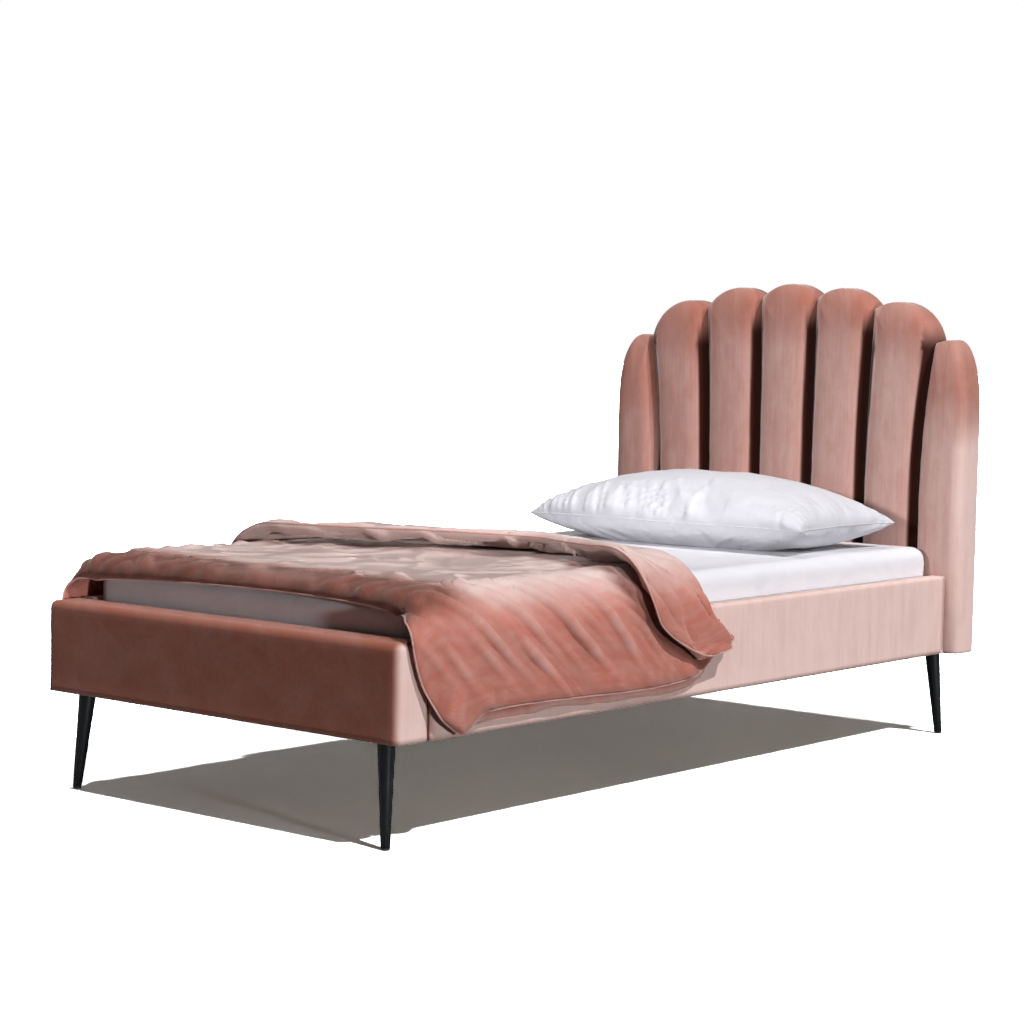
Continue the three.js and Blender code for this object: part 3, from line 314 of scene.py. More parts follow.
def tube(name, path, radius, sides=8, closed=False):
    """A round cord along a path of places."""
    path = np.asarray(path, float)
    ahead = np.roll(path, -1, 0) - np.roll(path, 1, 0)
    if not closed:
        ahead[0], ahead[-1] = path[1] - path[0], path[-1] - path[-2]
    ahead /= np.linalg.norm(ahead, axis=1)[:, None]
    side = np.cross(ahead, (0.0, 0.0, 1.0))
    short = np.linalg.norm(side, axis=1) < 0.2
    side[short] = np.cross(ahead[short], (1.0, 0.0, 0.0))
    side /= np.linalg.norm(side, axis=1)[:, None]
    up = np.cross(side, ahead)
    turn = np.linspace(0, 2 * math.pi, sides, endpoint=False)
    ring = side[:, None] * np.cos(turn)[None, :, None] + up[:, None] * np.sin(turn)[None, :, None]
    points = (path[:, None] + radius * ring).reshape(-1, 3)
    n = len(path)
    faces = []
    for i in range(n if closed else n - 1):
        j = (i + 1) % n
        for k in range(sides):
            m = (k + 1) % sides
            faces.append((i * sides + k, j * sides + k, j * sides + m, i * sides + m))
    if not closed:
        faces.append(tuple(range(sides - 1, -1, -1)))
        faces.append(tuple((n - 1) * sides + k for k in range(sides)))
    return piece_from(name, points, faces)


def settle(
    piece, frames, cap, pin=None, grown=None, growth=0.0, pressure=0.0, bending=0.5, stretch=15.0, inward=None
):
    """Runs a short cloth simulation and applies its result, with no corner moved further than the cap."""
    make_active(piece)
    rest, out = corners_of(piece), normals_of(piece)
    cloth = piece.modifiers.new("Cloth", "CLOTH")
    s = cloth.settings
    s.quality = 5
    s.mass = 0.3
    s.air_damping = 3
    s.tension_stiffness = s.compression_stiffness = stretch
    s.shear_stiffness = stretch / 2
    s.bending_stiffness = bending
    s.effector_weights.gravity = 0.0
    for label, weights in (("Held", pin), ("Grown", grown)):
        if weights is None:
            continue
        members = piece.vertex_groups.new(name=label)
        levels = np.round(weights, 2)
        for level in np.unique(levels):
            members.add(np.nonzero(levels == level)[0].tolist(), float(level), "REPLACE")
    if pin is not None:
        s.vertex_group_mass = "Held"
    if grown is not None:
        s.vertex_group_shrink = "Grown"
        s.shrink_min, s.shrink_max = 0.0, -growth
    elif growth:
        s.shrink_min = -growth
    if pressure:
        s.use_pressure = True
        s.uniform_pressure_force = pressure
    cloth.collision_settings.use_collision = False
    cloth.collision_settings.use_self_collision = False
    cloth.point_cache.frame_start, cloth.point_cache.frame_end = 1, frames
    scene = bpy.context.scene
    for f in range(1, frames + 1):
        scene.frame_set(f)
    evaluated = piece.evaluated_get(bpy.context.evaluated_depsgraph_get())
    moved = np.empty(len(rest) * 3)
    evaluated.data.vertices.foreach_get("co", moved)
    change = moved.reshape(-1, 3) - rest
    reach = np.linalg.norm(change, axis=1)
    change *= np.minimum(1.0, cap / np.maximum(reach, 1e-9))[:, None]
    if inward is not None:
        along = np.einsum("ij,ij->i", change, out)
        change += out * np.maximum(0, -inward - along)[:, None]
    piece.modifiers.remove(cloth)
    place_corners(piece, rest + change)
    piece.vertex_groups.clear()
    scene.frame_set(1)


# ---- Shader helpers ------------------------------------------------------------


def node(tree, kind, inputs=None, **settings):
    """Adds a node, with its inputs given as values or as sockets to join."""
    made = tree.nodes.new(kind)
    for key, value in settings.items():
        setattr(made, key, value)
    for key, value in (inputs or {}).items():
        if isinstance(value, bpy.types.NodeSocket):
            tree.links.new(value, made.inputs[key])
        else:
            made.inputs[key].default_value = value
    return made


def maths(tree, operation, a, b=0.5, clamp=False):
    return node(tree, "ShaderNodeMath", {0: a, 1: b}, operation=operation, use_clamp=clamp).outputs[0]


def add(tree, a, b, clamp=False):
    return maths(tree, "ADD", a, b, clamp)


def times(tree, a, b, clamp=False):
    return maths(tree, "MULTIPLY", a, b, clamp)


def blend_colour(tree, share, a, b, mode="MIX"):
    mix = node(tree, "ShaderNodeMix", data_type="RGBA", blend_type=mode, clamp_factor=True)
    for key, value in ((0, share), (6, a), (7, b)):
        if isinstance(value, bpy.types.NodeSocket):
            tree.links.new(value, mix.inputs[key])
        else:
            mix.inputs[key].default_value = value if key == 0 else (*value[:3], 1.0)
    return mix.outputs[2]


def ranged(tree, value, low, high, to_low=0.0, to_high=1.0, smooth=True):
    made = node(
        tree,
        "ShaderNodeMapRange",
        {"Value": value, "From Min": low, "From Max": high, "To Min": to_low, "To Max": to_high},
        interpolation_type="SMOOTHSTEP" if smooth else "LINEAR",
    )
    return made.outputs["Result"]


def stretched(tree, vector, scale):
    return node(tree, "ShaderNodeVectorMath", {0: vector, 1: scale}, operation="MULTIPLY").outputs[0]


def grain(tree, vector, scale, detail=2.0, roughness=0.5, distortion=0.0):
    made = node(
        tree,
        "ShaderNodeTexNoise",
        {"Vector": vector, "Scale": scale, "Detail": detail, "Roughness": roughness, "Distortion": distortion},
    )
    return made.outputs["Fac"]


def new_group(name, inputs, outputs):
    """A shader node group with named sockets."""
    tree = bpy.data.node_groups.new(name, "ShaderNodeTree")
    kinds = {"c": "NodeSocketColor", "v": "NodeSocketVector", "f": "NodeSocketFloat"}
    for label, kind, default in inputs:
        socket = tree.interface.new_socket(name=label, in_out="INPUT", socket_type=kinds[kind])
        if default is not None:
            socket.default_value = default
    for label, kind in outputs:
        tree.interface.new_socket(name=label, in_out="OUTPUT", socket_type=kinds[kind])
    return tree, tree.nodes.new("NodeGroupInput").outputs, tree.nodes.new("NodeGroupOutput").inputs


def pile_group():
    """Velvet pile: streaks down the cloth, a faint weave, its nap, and brushed and crushed places that also carry
    painted light and shade, with near-black painted shade in seams and gaps.
    """
    tree, given, made = new_group(
        "Velvet Pile",
        [
            ("Colour", "c", (0.5, 0.27, 0.23, 1)),
            ("Brushed And Lit", "c", (0.6, 0.38, 0.34, 1)),
            ("Crushed And Shaded", "c", (0.36, 0.14, 0.1, 1)),
            ("Vector", "v", None),
            ("Lifted And Lit", "f", 0.3),
            ("Pressed And Shaded", "f", 0.2),
            ("Painted Shade", "f", 0.0),
            ("Streaks", "f", 1.0),
            ("Patch Size", "f", 6.0),
        ],
        [("Colour", "c"), ("Roughness", "f"), ("Height", "f")],
    )
    vector = given["Vector"]

    def threads(scale, detail, roughness):
        strands = grain(tree, stretched(tree, vector, scale), 1.0, detail, roughness)
        return ranged(tree, strands, 0.3, 0.7, -0.5, 0.5)

    fine = threads((260.0, 7.0, 7.0), 4.0, 0.6)
    broad = threads((42.0, 1.8, 1.8), 2.0, 0.5)
    cross = threads((9.0, 300.0, 9.0), 3.0, 0.6)
    nap = grain(tree, vector, 900.0, 3.0, 0.7)
    patch = grain(tree, vector, given["Patch Size"], 5.0, 0.62, 0.5)
    sweep_size = times(tree, given["Patch Size"], 2.6)
    swept = grain(tree, stretched(tree, vector, (1.0, 0.4, 1.0)), sweep_size, 3.0, 0.6, 0.3)
    streak = add(tree, times(tree, fine, 0.4), times(tree, broad, 0.34))
    streak = times(tree, add(tree, streak, times(tree, cross, 0.12)), given["Streaks"])
    brushed = add(tree, streak, ranged(tree, swept, 0.3, 0.7, -0.08, 0.08))
    lifted_and_lit = add(tree, given["Lifted And Lit"], brushed, clamp=True)
    worn = ranged(tree, patch, 0.3, 0.65, 0.7, 1.0)
    pressed_and_shaded = times(tree, given["Pressed And Shaded"], worn, clamp=True)
    # The brushed and crushed tones are partly the pile's own streaks and patches, partly painted light and painted
    # shade from the marks.
    tone = blend_colour(tree, lifted_and_lit, given["Colour"], given["Brushed And Lit"])
    tone = blend_colour(tree, pressed_and_shaded, tone, given["Crushed And Shaded"])
    # Painted shade: velvet near black where the marks put shade in seams and gaps.
    deep = blend_colour(tree, 1.0, given["Crushed And Shaded"], (0.1, 0.07, 0.06), "MULTIPLY")
    tone = blend_colour(tree, given["Painted Shade"], tone, deep)
    speck = ranged(tree, nap, 0.2, 0.8, 0.9, 1.1, smooth=False)
    grey = node(tree, "ShaderNodeCombineColor", {0: speck, 1: speck, 2: speck}).outputs[0]
    tree.links.new(blend_colour(tree, 1.0, tone, grey, "MULTIPLY"), made["Colour"])
    tree.links.new(maths(tree, "SUBTRACT", 0.93, times(tree, pressed_and_shaded, 0.18)), made["Roughness"])
    height = add(tree, times(tree, nap, 0.6), times(tree, fine, 0.25))
    tree.links.new(add(tree, height, times(tree, cross, 0.15)), made["Height"])
    return tree


def weave_group():
    """Plain woven cotton: crossing threads with slight slubs, and soft tone changes."""
    tree, given, made = new_group(
        "Cotton Weave",
        [
            ("Colour", "c", (0.75, 0.75, 0.78, 1)),
            ("Shade", "c", (0.62, 0.62, 0.7, 1)),
            ("Vector", "v", None),
            ("Threads", "f", 900.0),
            ("Crease Size", "f", 14.0),
        ],
        [("Colour", "c"), ("Roughness", "f"), ("Height", "f")],
    )
    vector = given["Vector"]
    size = node(tree, "ShaderNodeVectorMath", {0: vector, "Scale": given["Threads"]}, operation="SCALE").outputs[0]
    parts = node(tree, "ShaderNodeSeparateXYZ", {0: size}).outputs
    warp = maths(tree, "SINE", times(tree, parts[0], math.pi))
    weft = maths(tree, "SINE", times(tree, parts[1], math.pi))
    cloth = times(tree, warp, weft)
    slub = grain(tree, stretched(tree, vector, (40.0, 900.0, 40.0)), 1.0, 2.0, 0.6)
    crease = grain(tree, stretched(tree, vector, (1.0, 0.45, 1.0)), given["Crease Size"], 5.0, 0.6, 0.9)
    shade = ranged(tree, crease, 0.42, 0.7, 0.0, 0.45)
    tree.links.new(blend_colour(tree, shade, given["Colour"], given["Shade"]), made["Colour"])
    tree.links.new(ranged(tree, slub, 0.2, 0.8, 0.78, 0.92, smooth=False), made["Roughness"])
    height = add(tree, times(tree, cloth, 0.25), times(tree, slub, 0.3))
    tree.links.new(add(tree, height, times(tree, crease, 1.6)), made["Height"])
    return tree


def wood_group():
    """Sawn timber: long grain, darker late wood, small pores and a slight swirl."""
    tree, given, made = new_group(
        "Timber Grain",
        [
            ("Early Wood", "c", (0.6, 0.4, 0.2, 1)),
            ("Late Wood", "c", (0.4, 0.22, 0.1, 1)),
            ("Vector", "v", None),
            ("Ring Size", "f", 60.0),
        ],
        [("Colour", "c"), ("Roughness", "f"), ("Height", "f")],
    )
    long_grain = stretched(tree, given["Vector"], (1.0, 0.06, 1.0))
    rings = grain(tree, long_grain, given["Ring Size"], 3.0, 0.55, 1.2)
    bands = maths(tree, "FRACT", times(tree, rings, 6.0))
    late = ranged(tree, bands, 0.55, 0.98)
    pores = grain(tree, stretched(tree, given["Vector"], (900.0, 30.0, 900.0)), 1.0, 2.0, 0.6)
    pitted = times(tree, ranged(tree, pores, 0.6, 0.8), 0.3)
    dark = add(tree, times(tree, late, 0.6), pitted, clamp=True)
    tree.links.new(blend_colour(tree, dark, given["Early Wood"], given["Late Wood"]), made["Colour"])
    tree.links.new(ranged(tree, pores, 0.3, 0.8, 0.55, 0.8), made["Roughness"])
    height = maths(tree, "SUBTRACT", times(tree, late, 0.4), times(tree, pores, 0.6))
    tree.links.new(height, made["Height"])
    return tree


def skin_group():
    """Thin hard finish: faint cloudiness, fine specks and a slight unevenness."""
    tree, given, made = new_group(
        "Hard Skin",
        [
            ("Colour", "c", (0.5, 0.5, 0.5, 1)),
            ("Cloud", "c", (0.4, 0.4, 0.4, 1)),
            ("Vector", "v", None),
            ("Speck Size", "f", 800.0),
            ("Smooth Roughness", "f", 0.3),
            ("Worn Roughness", "f", 0.5),
        ],
        [("Colour", "c"), ("Roughness", "f"), ("Height", "f")],
    )
    cloud = grain(tree, given["Vector"], 35.0, 4.0, 0.6, 0.6)
    speck = grain(tree, given["Vector"], given["Speck Size"], 2.0, 0.6)
    clouded = blend_colour(tree, ranged(tree, cloud, 0.35, 0.7), given["Colour"], given["Cloud"])
    tree.links.new(clouded, made["Colour"])
    low, high = given["Smooth Roughness"], given["Worn Roughness"]
    tree.links.new(ranged(tree, speck, 0.3, 0.7, low, high, smooth=False), made["Roughness"])
    tree.links.new(speck, made["Height"])
    return tree


GROUP_MAKERS = {
    "Velvet Pile": pile_group,
    "Cotton Weave": weave_group,
    "Timber Grain": wood_group,
    "Hard Skin": skin_group,
}
GROUPS = {}


def group(name):
    """The named shader node group, made when it is first asked for."""
    if name not in GROUPS:
        GROUPS[name] = GROUP_MAKERS[name]()
    return GROUPS[name]


def finish_material(name, group_name, group_inputs, vector, bump, settings):
    """A material whose varying colour, roughness and bump come from a group."""
    material = bpy.data.materials.new(name)
    material.use_nodes = True
    tree = material.node_tree
    tree.nodes.clear()
    out = tree.nodes.new("ShaderNodeOutputMaterial")
    surface = tree.nodes.new("ShaderNodeBsdfPrincipled")
    tree.links.new(surface.outputs[0], out.inputs["Surface"])
    for key, value in settings.items():
        surface.inputs[key].default_value = value
    effect = tree.nodes.new("ShaderNodeGroup")
    effect.node_tree = group(group_name)
    for key, value in group_inputs.items():
        if callable(value):
            tree.links.new(value(tree), effect.inputs[key])
        else:
            effect.inputs[key].default_value = (*value, 1.0) if hasattr(value, "__len__") else value
    tree.links.new(vector(tree), effect.inputs["Vector"])
    tree.links.new(effect.outputs["Colour"], surface.inputs["Base Color"])
    tree.links.new(effect.outputs["Roughness"], surface.inputs["Roughness"])
    strength, distance = bump
    relief = {"Strength": strength, "Distance": distance, "Height": effect.outputs["Height"]}
    raised = node(tree, "ShaderNodeBump", relief)
    tree.links.new(raised.outputs[0], surface.inputs["Normal"])
    return material


def object_places(tree):
    return tree.nodes.new("ShaderNodeTexCoord").outputs["Object"]


def upright_places(tree):
    """Object places with the pile running up and down: across, up, nothing."""
    parts = node(tree, "ShaderNodeSeparateXYZ", {0: object_places(tree)}).outputs
    across = add(tree, parts[0], parts[1])
    return node(tree, "ShaderNodeCombineXYZ", {0: across, 1: parts[2]}).outputs[0]


def marked(name):
    """Reads the number that a piece's corners hold under a name."""
    return lambda tree: node(tree, "ShaderNodeAttribute", attribute_name=name).outputs["Fac"]


def cloth_places(tree):
    """Places along and across the cloth, from its UV map."""
    return node(tree, "ShaderNodeUVMap", uv_map="Cloth").outputs[0]


def crosswise_places(tree):
    """Object places turned so that a board's grain runs across the bed."""
    parts = node(tree, "ShaderNodeSeparateXYZ", {0: object_places(tree)}).outputs
    return node(tree, "ShaderNodeCombineXYZ", {0: parts[1], 1: parts[0], 2: parts[2]}).outputs[0]


PINE = {"Early Wood": (0.58, 0.37, 0.18), "Late Wood": (0.38, 0.19, 0.08), "Ring Size": 42.0}
BIRCH = {"Early Wood": (0.68, 0.5, 0.29), "Late Wood": (0.55, 0.36, 0.19), "Ring Size": 60.0}
PLY = {"Early Wood": (0.5, 0.31, 0.15), "Late Wood": (0.36, 0.2, 0.09), "Ring Size": 26.0}
TICKING = {"Colour": (0.66, 0.63, 0.57), "Shade": (0.52, 0.5, 0.46), "Threads": 500.0}
DUST_CLOTH = {"Colour": (0.014, 0.014, 0.016), "Shade": (0.03, 0.03, 0.033), "Threads": 700.0}
WEBBING = {"Colour": (0.62, 0.6, 0.54), "Shade": (0.5, 0.48, 0.42), "Threads": 420.0}


def hard(tone, cloud, speck_size, smooth, worn):
    """Inputs of the hard skin: its two tones, its specks' size and its roughness where smooth and worn."""
    names = ("Colour", "Cloud", "Speck Size", "Smooth Roughness", "Worn Roughness")
    return dict(zip(names, (tone, cloud, speck_size, smooth, worn)))


def velvet_recipes(c):
    """The velvets: group, its inputs, places, bump strength and distance, and the shader's own settings."""
    sheen = {
        "Sheen Weight": 0.5,
        "Sheen Roughness": 0.4,
        "Sheen Tint": (1.0, 0.9, 0.87, 1.0),
        "Specular IOR Level": 0.1,
    }
    quilt_sheen = {**sheen, "Sheen Weight": 0.75, "Sheen Tint": (1.0, 0.82, 0.77, 1.0)}
    pile = {key: marked(key) for key in ("Lifted And Lit", "Pressed And Shaded", "Painted Shade")}
    rose = {"Colour": tuple(c.velvet), "Brushed And Lit": tuple(c.velvet_brushed_and_lit), "Crushed And Shaded": tuple(c.velvet_crushed_and_shaded)}
    quilt = {"Colour": tuple(c.duvet), "Brushed And Lit": tuple(c.duvet_brushed_and_lit), "Crushed And Shaded": tuple(c.duvet_crushed_and_shaded)}
    channels = {**rose, **pile, "Streaks": 0.3, "Patch Size": 12.0}
    covers = {**rose, **pile, "Streaks": 0.3, "Patch Size": 8.0}
    cloth = {**quilt, **pile, "Streaks": 0.14, "Patch Size": 12.0}
    piping = {**quilt, "Lifted And Lit": 0.45, "Pressed And Shaded": 0.1, "Streaks": 0.4, "Patch Size": 40.0}
    group_name, bump = "Velvet Pile", (0.3, 0.0008)
    return {
        "Rose Velvet Channels": (group_name, channels, upright_places, bump, sheen),
        "Rose Velvet Covers": (group_name, covers, upright_places, bump, sheen),
        "Duvet Velvet": (group_name, cloth, cloth_places, bump, quilt_sheen),
        "Duvet Piping": (group_name, piping, object_places, (0.3, 0.0006), {**sheen, "Sheen Weight": 0.9}),
    }


def plain_recipes(c):
    """The cottons, timbers and hard finishes, given as the velvets are."""
    plain = {"Specular IOR Level": 0.3}
    soft = {**plain, "Sheen Weight": 0.15}
    cotton = {"Colour": tuple(c.cotton), "Shade": (0.60, 0.60, 0.66)}
    slip = {"Colour": (0.58, 0.575, 0.615), "Shade": (0.52, 0.52, 0.575), "Crease Size": 22.0}
    lacquer = hard(tuple(c.lacquer), (0.007, 0.009, 0.011), 300.0, 0.4, 0.5)
    zinc = hard((0.45, 0.46, 0.47), (0.33, 0.34, 0.36), 420.0, 0.3, 0.5)
    plastic = hard((0.011, 0.011, 0.012), (0.02, 0.02, 0.022), 1500.0, 0.45, 0.65)
    weave, timber, skin = "Cotton Weave", "Timber Grain", "Hard Skin"
    along, across = object_places, crosswise_places
    return {
        "White Cotton": (weave, cotton, along, (0.35, 0.0012), soft),
        "Pillow Cotton": (weave, slip, along, (0.4, 0.0015), soft),
        "Mattress Ticking": (weave, TICKING, along, (0.6, 0.0015), plain),
        "Dust Cloth": (weave, DUST_CLOTH, along, (0.5, 0.001), plain),
        "Webbing": (weave, WEBBING, along, (0.8, 0.0012), plain),
        "Pine": (timber, PINE, along, (0.3, 0.0006), plain),
        "Pine Across": (timber, PINE, across, (0.3, 0.0006), plain),
        "Birch Slats": (timber, BIRCH, across, (0.25, 0.0005), {**plain, "Coat Weight": 0.15}),
        "Plywood": (timber, PLY, across, (0.3, 0.0006), plain),
        "Black Lacquer": (skin, lacquer, along, (0.12, 0.0003), {"Specular IOR Level": 0.12}),
        "Zinc": (skin, zinc, along, (0.2, 0.0004), {"Metallic": 0.95}),
        "Black Plastic": (skin, plastic, along, (0.3, 0.0003), {}),
    }


MATERIALS = {}


def material(name):
    """The named finish, made when it is first asked for."""
    if name not in MATERIALS:
        colours = bpy.context.scene.bed_colours
        recipes = {**velvet_recipes(colours), **plain_recipes(colours)}
        MATERIALS[name] = finish_material(name, *recipes[name])
    return MATERIALS[name]


def dress(piece, finish, slot, body, *nodes):
    """Gives a finished piece its material and ties it to its body and CAD nodes; its record slot is not used."""
    piece.data.materials.clear()
    piece.data.materials.append(material(finish))
    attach(piece, body)
    if nodes:
        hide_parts(*nodes)


# ---- Headboard channels --------------------------------------------------------


class Scallops:
    """The headboard's outline: round lobes that step down from the middle to a sloping shoulder."""

    def __init__(self, sizes):
        self.s = sizes
        self.last = len(LOBE_TOPS) - 1
        self.pitch = (HEADBOARD_HALF - sizes.shoulder_width) / self.last
        self.radius = self.pitch / 2 + sizes.lobe_overlap
        self.centres = [np.array([i * self.pitch, top - self.radius]) for i, top in enumerate(LOBE_TOPS)]
        self.springing = LOBE_TOPS[self.last] - sizes.shoulder_drop
        self.seam_pitch = (HEADBOARD_HALF - sizes.outer_width) / (self.last - 0.5)

    def valley(self, i):
        a, b = self.centres[i - 1], self.centres[i]
        half = np.linalg.norm(b - a) / 2
        rise = math.sqrt(self.radius**2 - half**2)
        along = (b - a) / (2 * half)
        return (a + b) / 2 + rise * np.array([-along[1], along[0]])

    def seam_x(self, i, z):
        if i == 0:
            return -self.seam_x(1, z)
        if i > self.last:
            return np.full_like(np.asarray(z, float), HEADBOARD_HALF)
        foot = (i - 0.5) * self.seam_pitch
        top = self.valley(i)
        t = np.maximum(0, (np.asarray(z, float) - self.s.fan_start) / (top[1] - self.s.fan_start))
        return foot + (top[0] - foot) * t * t

    def spine_top(self, i):
        return self.springing if i == self.last else self.centres[i][1]

    def over_the_top(self, i, spacing):
        """Places from the inner seam at the spine's top, over the lobe, to the outer side."""
        low = self.spine_top(i)
        start = self.valley(i) if i else self.valley(1) * (-1, 1)
        z = np.linspace(low, start[1], 40)
        inner = np.stack([self.seam_x(i, z), z], 1)
        centre = self.centres[i]
        a0 = math.atan2(*(start - centre)[::-1])
        if i == self.last:
            arc = np.linspace(a0, math.pi / 2, 60)
            top = centre + self.radius * np.stack([np.cos(arc), np.sin(arc)], 1)
            turn = np.linspace(math.pi / 2, 0, 90)
            across = self.s.shoulder_width * np.cos(turn)
            outer = np.stack([centre[0] + across, low + self.s.shoulder_drop * np.sin(turn)], 1)
        else:
            end = self.valley(i + 1)
            a1 = math.atan2(*(end - centre)[::-1])
            arc = np.linspace(a0, a1, 90)
            top = centre + self.radius * np.stack([np.cos(arc), np.sin(arc)], 1)
            z = np.linspace(end[1], low, 40)
            outer = np.stack([self.seam_x(i + 1, z), z], 1)
        line = np.concatenate([inner, top[1:], outer[1:]])
        run = np.concatenate([[0], np.cumsum(np.linalg.norm(np.diff(line, axis=0), axis=1))])
        even = np.linspace(0, run[-1], max(8, int(run[-1] / spacing)))
        marks = run[[len(inner) - 1, len(inner) + len(top) - 2]]
        near = [int(np.argmin(abs(even - m))) for m in marks]
        even[near] = marks
        placed = np.stack([np.interp(even, run, line[:, 0]), np.interp(even, run, line[:, 1])], 1)
        exposed = (even >= marks[0] - 1e-6) & ((even <= marks[1] + 1e-6) | (i == self.last))
        return placed, exposed


SEAM_GAP = 0.0006
PAD_SPACING = 0.006
FULLNESS = 3.0
SIDE_FULLNESS = 2.0
TURNED_IN = 0.0112
# along the wrap: how far back as a share of the depth, and how far drawn in
WRAP = ((0.4, 0.0), (0.8, 0.0), (0.93, 0.0018), (1.0, 0.006), (1.0, TURNED_IN), (0.1, TURNED_IN))


def headboard_channel(scallops, lobe, mirror, name):
    """One stuffed channel: its crown spreads from an upright spine to the outline, then wraps to the back."""
    sizes = scallops.s
    top_z, foot_z = scallops.spine_top(lobe), CHANNEL_FEET[lobe]
    rows = int((top_z - foot_z) / PAD_SPACING)
    low = np.linspace(foot_z, top_z, rows)
    inner = np.stack([scallops.seam_x(lobe, low) + SEAM_GAP, low], 1)
    outer_shift = 0 if lobe == scallops.last else SEAM_GAP
    outer = np.stack([scallops.seam_x(lobe + 1, low) - outer_shift, low], 1)[::-1]
    over, bare = scallops.over_the_top(lobe, PAD_SPACING)
    outline = np.concatenate([inner, over[1:-1], outer])
    bare_sides = np.full(len(outer), lobe == scallops.last)
    exposed = np.concatenate([np.zeros(len(inner), bool), bare[1:-1], bare_sides])
    height = np.minimum(outline[:, 1], top_z)
    spine = np.stack([(scallops.seam_x(lobe, height) + scallops.seam_x(lobe + 1, height)) / 2, height], 1)
    t = np.concatenate([np.linspace(0, 0.8, 13), np.linspace(0.8, 1, 12)[1:]])
    t = np.where(t > 0.8, 0.8 + 0.2 * np.sin((t - 0.8) / 0.2 * math.pi / 2), t)
    flat = spine[:, None] + (outline - spine)[:, None] * t[None, :, None]
    fullness = FULLNESS
    if lobe == scallops.last:
        squarer = np.clip((outline[:, 0] - scallops.centres[lobe][0]) / sizes.shoulder_width, 0, 1)
        fullness = (FULLNESS + SIDE_FULLNESS * squarer)[:, None]
    depth = sizes.channel_depth * (1 - t[None, :] ** fullness) ** (1 / fullness)
    pad_back = CROWN_Y + sizes.channel_depth
    y = np.broadcast_to(pad_back - depth, flat.shape[:2])
    front = np.stack([mirror * flat[..., 0], y, flat[..., 1]], 2)
    # the wrap: straight back, rolled over the rear edge, then a short way in over the panel
    inward = spine - outline
    inward /= np.linalg.norm(inward, axis=1)[:, None]
    wrap = []
    for back, drawn in WRAP:
        deep = np.where(exposed, (HEADBOARD_BACK_Y - pad_back) * back, 0.001 * back)
        place = outline + inward * drawn
        wrap.append(np.stack([mirror * place[:, 0], pad_back + deep, place[:, 1]], 1))
    hub = np.stack([mirror * spine[:, 0], np.full(len(spine), pad_back + 0.0002), spine[:, 1]], 1)
    lines = np.concatenate([front, np.stack(wrap, 1), hub[:, None]], 1)
    n, m = lines.shape[:2]
    across = np.concatenate([[0], np.cumsum(np.linalg.norm(np.diff(lines[n // 4], axis=0), axis=1))])
    # places on the cloth: up the channel's length, and across it from the spine
    side = np.sign(flat[..., 0] - spine[:, None, 0])
    reach = np.linalg.norm(flat - spine[:, None], axis=2)
    u = np.zeros((n, m))
    v = np.zeros((n, m))
    u[:, : len(t)] = side * reach + 0.37 * lobe * mirror
    v[:, : len(t)] = flat[..., 1]
    u[:, len(t) :] = u[:, len(t) - 1 : len(t)] + side[:, -1:] * (across[len(t) :] - across[len(t) - 1])
    v[:, len(t) :] = outline[:, 1:2]
    uv = np.stack([u, v], 2).reshape(-1, 2)
    points = lines.reshape(-1, 3)
    points = rumple_channel(points, outline, lines, t, lobe, mirror)
    piece = piece_from(name, points, grid_faces(n, m), uv)
    mark_channel(piece, scallops, lobe, mirror, lines, spine)
    return tidy_mesh(piece, close=True)


def mark_channel(piece, scallops, lobe, mirror, lines, spine):
    """Marks a channel's pile: painted shade on its right side and in the seams, a painted highlight along its left
    edge, channels lighter to the right, darker over the dome, and painted light on the outer channel's side.
    """
    x, height = mirror * lines[..., 0], lines[..., 2]
    right = mirror * (x - spine[:, None, 0]) / (0.5 * scallops.s.outer_width)
    dome = (height - scallops.spine_top(lobe)) / scallops.radius
    # Painted shade on the right side of each channel, where the next channel shades it, strongest high up; the dome
    # is darker too.
    shaded_right = smooth_step(0.1, 0.9, right) * smooth_step(-1.6, 0.3, dome)
    pressed_and_shaded = 0.42 * smooth_step(-0.5, 0.75, dome) + 0.2 * shaded_right
    pressed_and_shaded = pressed_and_shaded + 0.12 * smooth_step(0.4, 0.75, right)
    # Painted light: channels lighter towards the right, and a thin painted highlight along each left edge.
    lifted_and_lit = 0.24 + 0.06 * mirror * lobe + 0.5 * smooth_step(0.86, 0.96, -right)
    lifted_and_lit = lifted_and_lit - 0.22 * smooth_step(-0.4, 0.6, dome)
    # Painted shade in the seams: wide on the right of each channel, narrow on its left.
    mouth = 0.905 + 0.055 * smooth_step(-2.0, 0.3, dome)
    right_seam_shade, left_seam_shade = smooth_step(0, 1, (right - mouth) / 0.05), smooth_step(0.965, 1.0, -right)
    seam_shade = np.maximum(right_seam_shade, left_seam_shade) * (dome < 1.2)
    if lobe == scallops.last:
        # Painted light on the outer channel's side and right half, which there also loses most of its painted
        # shade.
        flank = smooth_step(-0.04, 0.006, lines[..., 1] - CROWN_Y - 0.03) * (x > spine[:, None, 0])
        high = smooth_step(-0.9, -0.1, dome)
        lit = np.maximum(flank, smooth_step(0.35, 0.75, right) * (mirror > 0))
        lifted_and_lit = lifted_and_lit + 0.6 * lit * (1 - high)
        pressed_and_shaded = pressed_and_shaded * (1 - 0.85 * flank * (1 - high))
        seam_shade = seam_shade * ((right < 0) if mirror > 0 else (right > 0))
    free = smooth_step(0.0, 0.6, dome) if lobe < scallops.last else 0
    mark_points(piece, "Lifted And Lit", np.clip(lifted_and_lit, 0, 1))
    mark_points(piece, "Pressed And Shaded", np.clip(pressed_and_shaded, 0, 1))
    mark_points(piece, "Painted Shade", seam_shade * (1 - free))


